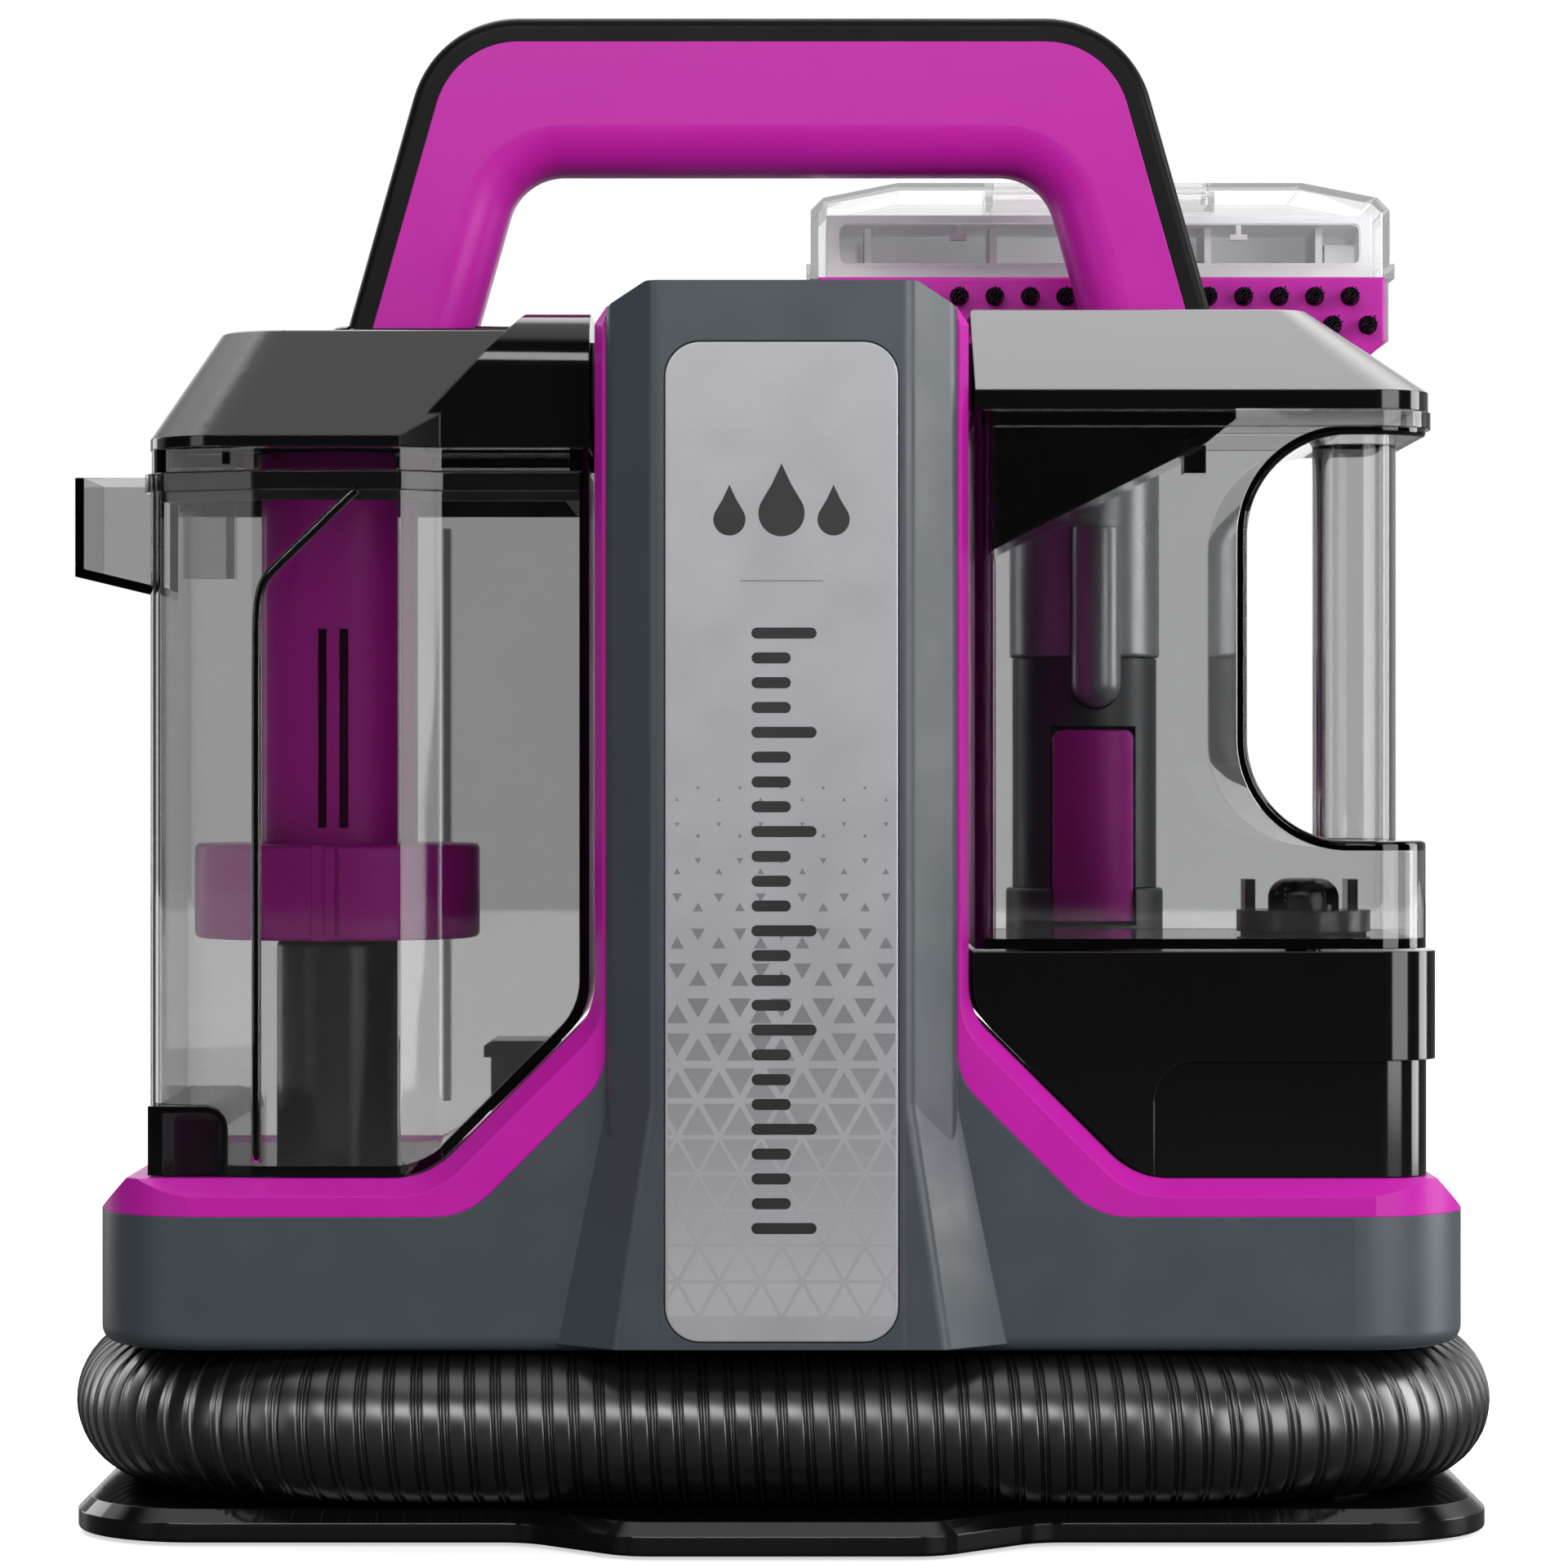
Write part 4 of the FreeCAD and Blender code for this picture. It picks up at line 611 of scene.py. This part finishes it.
# ---------------------------------------------------------------- the brush
FILAMENT_R = 0.26 * MM
FILAMENTS = 26  # in each tuft
GOLDEN_ANGLE = 2.39996  # radians
TUFT_R = 1.9 * MM
TIP_R, TIP_R_VARIES = 1.95, 0.35
LENGTH_VARIES = 1.2 * MM
TIP_STRAYS, MIDDLE_STRAYS = 0.12, 0.08
APART = 4 * MM  # tufts stand further apart than this


def bristles():
    """Each tuft is a bundle of filaments that spread a little towards their tips."""
    rng = random.Random(7)

    def stray(reach):
        return Vector((rng.uniform(-1, 1), 0, rng.uniform(-1, 1))) * reach * MM

    low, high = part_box("brush_tufts")
    tufts = Shapes()
    for x, z in tuft_centres(NODES["brush_tufts"]):
        for i in range(FILAMENTS):
            angle, reach = i * GOLDEN_ANGLE, math.sqrt((i + 0.5) / FILAMENTS)
            root = Vector((math.cos(angle), 0, math.sin(angle))) * reach
            spread = TIP_R + TIP_R_VARIES * rng.random()
            start = Vector((x, high.y, z)) + root * TUFT_R
            tip = Vector((x, low.y + LENGTH_VARIES * rng.random(), z)) + root * spread * MM
            tip += stray(TIP_STRAYS)
            middle = start.lerp(tip, 0.55) + stray(MIDDLE_STRAYS)
            tufts.tube([start, middle, tip], [FILAMENT_R, FILAMENT_R, FILAMENT_R * 0.7], sides=6)
    piece = tufts.piece("brush_filaments", FINISHES["bristle_black"], "machine", smooth=True)
    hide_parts("brush_tufts")


def tuft_centres(node):
    """Where the CAD tufts stand, from the ends of their cylinders."""
    found = []
    for vertex in node.data.vertices:
        x, z = vertex.co.x, vertex.co.z
        near = next((f for f in found if math.hypot(f[0] / f[2] - x, f[1] / f[2] - z) < APART), None)
        if near is None:
            found.append([x, z, 1])
        else:
            near[0] += x
            near[1] += z
            near[2] += 1
    return [(sx / n, sz / n) for sx, sz, n in found]


# ---------------------------------------------------------------- dirty water tank
TANK_FRONT = -85 * MM
RIDGE_R, RIDGE_FLAT = 1.2 * MM, 0.6
# The bead's run, across and up: down across one facet of the tank's front, then along the corner between two.
RIDGE_RUN = [
    *[(-104.5, 259.5), (-106.4, 258), (-115, 249.5), (-123.9, 241), (-127.6, 237), (-129, 231)],
    *[(-129.2, 222), (-129.2, 180), (-129.2, 135), (-129.2, 94)],
]
MAT_FLOOR, MAT_THICK = 90.05, 0.2
MAT = [(-153, -80), (-50, -80), (-50, -1), (-153, -1)]
BOSS_FLOOR, BOSS_TALL, BOSS_CORNER_R = 90.02, 13.5, 3.6
BOSS_CORNERS = [(-148, -67, 180), (-144, -67, 270), (-144, -11, 0), (-148, -11, 90)]  # x, y, start angle


def tank_ridge():
    """The raised bead on the tank's front."""
    line = spline_points([(x * MM, TANK_FRONT, z * MM) for x, z in RIDGE_RUN], "ridge_route")
    ridge = Shapes()
    ridge.tube(line, [RIDGE_R] * len(line), sides=12, flat=RIDGE_FLAT)
    ridge.piece("tank_ridge", FINISHES["smoke_clear"], "dirty_tank", smooth=True)


def deck_under_tank():
    """What the tank stands on: a dark mat, and the boss that its floor's pocket drops over."""
    mat = Shapes()
    mat.prism(MAT, lambda u, v, d: Vector((u, v, MAT_FLOOR + d)) * MM, MAT_THICK)
    mat.piece("deck_mat", FINISHES["black_matte"], "machine")
    boss = Shapes()
    outline = [point for u, v, turn in BOSS_CORNERS for point in arc(u, v, BOSS_CORNER_R, turn, turn + 90)]
    boss.prism(outline, lambda u, v, d: Vector((u, v, BOSS_FLOOR + d)) * MM, BOSS_TALL)
    boss.piece("deck_boss", FINISHES["magenta_plastic"], "machine")


# ---------------------------------------------------------------- studio
LIT_POINT = (0, 0, 0.19)  # the middle of the machine, which every light faces
# Each light's name, place, width and height, and power in watts.
LIGHTS = [
    ("front_high", (-0.25, -1.45, 0.9), (1.3, 0.4), 11.5),
    ("key_right", (1.05, -1.25, 0.45), (0.9, 0.95), 13),
    ("key_left", (-1.35, -1.1, 0.5), (0.5, 0.95), 2.5),
    ("side_right", (1.3, 0.05, 0.35), (0.5, 1.2), 15),
    ("side_left", (-1.1, 0.9, 0.4), (0.4, 1.2), 4),
]


def area_light(name, place, size, power):
    data = bpy.data.lights.new(name, "AREA")
    data.shape = "RECTANGLE"
    data.size, data.size_y = size
    data.energy = power
    light = bpy.data.objects.new(name, data)
    light.location = place
    light.rotation_euler = (Vector(LIT_POINT) - Vector(place)).to_track_quat("-Z", "Y").to_euler()
    bpy.context.scene.collection.objects.link(light)


def studio():
    for name, place, size, power in LIGHTS:
        area_light(name, place, size, power)


# What surfaces reflect, by direction: strengths, and the shares of the way up or aside between which they
# change.
LOW_BEHIND, HIGH_BEHIND, HIGH_FROM, HIGH_TO = 1.0, 4.2, 0.35, 0.75
ASIDE_SHARE, ASIDE_FROM, ASIDE_TO = 0.35, 0.25, 0.5
ABOVE, ABOVE_FROM, ABOVE_TO = 1.15, 0.8, 0.95
EVERYWHERE = 0.03


def world():
    """Plain white to the camera; what surfaces reflect is bright behind the object and above it."""
    world_ = bpy.data.worlds.new("studio")
    world_.use_nodes = True
    bpy.context.scene.world = world_
    tree = world_.node_tree
    nodes, links = tree.nodes, tree.links
    nodes.clear()

    def node(kind, sockets, **settings):
        made = nodes.new("ShaderNode" + kind)
        for key, value in settings.items():
            setattr(made, key, value)
        for socket, value in sockets.items():
            if isinstance(value, bpy.types.NodeSocket):
                links.new(value, made.inputs[socket])
            else:
                made.inputs[socket].default_value = value
        return made

    def ramp(value, low, high, out_low, out_high):
        sockets = {"Value": value, "From Min": low, "From Max": high, "To Min": out_low, "To Max": out_high}
        return node("MapRange", sockets, interpolation_type="SMOOTHSTEP").outputs[0]

    def both(a, b, operation):
        return node("Math", {0: a, 1: b}, operation=operation).outputs[0]

    way = nodes.new("ShaderNodeTexCoord").outputs["Generated"]
    split = node("SeparateXYZ", {0: way}).outputs
    upward = ramp(split["Z"], HIGH_FROM, HIGH_TO, LOW_BEHIND, HIGH_BEHIND)
    behind = both(ramp(split["Y"], 0.2, 0.4, 0.0, 1.0), upward, "MULTIPLY")
    aside = node("Math", {0: split["X"]}, operation="ABSOLUTE").outputs[0]
    behind = both(behind, ramp(aside, ASIDE_FROM, ASIDE_TO, 1.0, ASIDE_SHARE), "MULTIPLY")
    above = ramp(split["Z"], ABOVE_FROM, ABOVE_TO, 0.0, ABOVE)
    level = both(both(behind, above, "MAXIMUM"), EVERYWHERE, "ADD")
    seen = nodes.new("ShaderNodeLightPath").outputs["Is Camera Ray"]
    lit = node("Background", {"Color": (1, 1, 1, 1), "Strength": level}).outputs[0]
    white = node("Background", {"Color": (1, 1, 1, 1), "Strength": 1.0}).outputs[0]
    mixed = node("MixShader", {0: seen, 1: lit, 2: white}).outputs[0]
    output = nodes.new("ShaderNodeOutputWorld")
    links.new(mixed, output.inputs["Surface"])


FLOOR_REACH = 6.0
FLOOR_GLOW = 0.62
FLOOR_DARK = (0.06, 0.06, 0.06)


def floor():
    """A pale floor that is dark in reflections, so that black plastic stays black above it."""
    graph = Graph("floor_white", Specular_IOR_Level=0.2, Emission_Color=(1, 1, 1, 1))
    ray = graph.add("LightPath").outputs
    rays = {0: ray["Is Camera Ray"], 1: ray["Is Transmission Ray"]}
    seen = graph.add("Math", rays, operation="MAXIMUM").outputs[0]
    white = graph.mix(graph.noise(3, 3), (0.8, 0.8, 0.8), (0.83, 0.83, 0.83))
    graph.link("Base Color", graph.mix(seen, FLOOR_DARK, white))
    graph.link("Emission Strength", graph.between(seen, 0.0, 1.0, 0.0, FLOOR_GLOW))
    graph.link("Roughness", graph.between(graph.noise(8, 3), 0.3, 0.7, 0.5, 0.6))
    corners = [(x * FLOOR_REACH, y * FLOOR_REACH, 0) for x, y in ((-1, -1), (1, -1), (1, 1), (-1, 1))]
    mesh = bpy.data.meshes.new("floor")
    mesh.from_pydata(corners, [], [(0, 1, 2, 3)])
    plane = bpy.data.objects.new("floor", mesh)
    mesh.materials.append(graph.material)
    bpy.context.scene.collection.objects.link(plane)


# ---------------------------------------------------------------- the scene
camera()
hose()
finish_cad_nodes()
label_print()
power_mark()
bristles()
tank_ridge()
deck_under_tank()
studio()
world()
floor()
bpy.context.scene.view_settings.view_transform = "Standard"
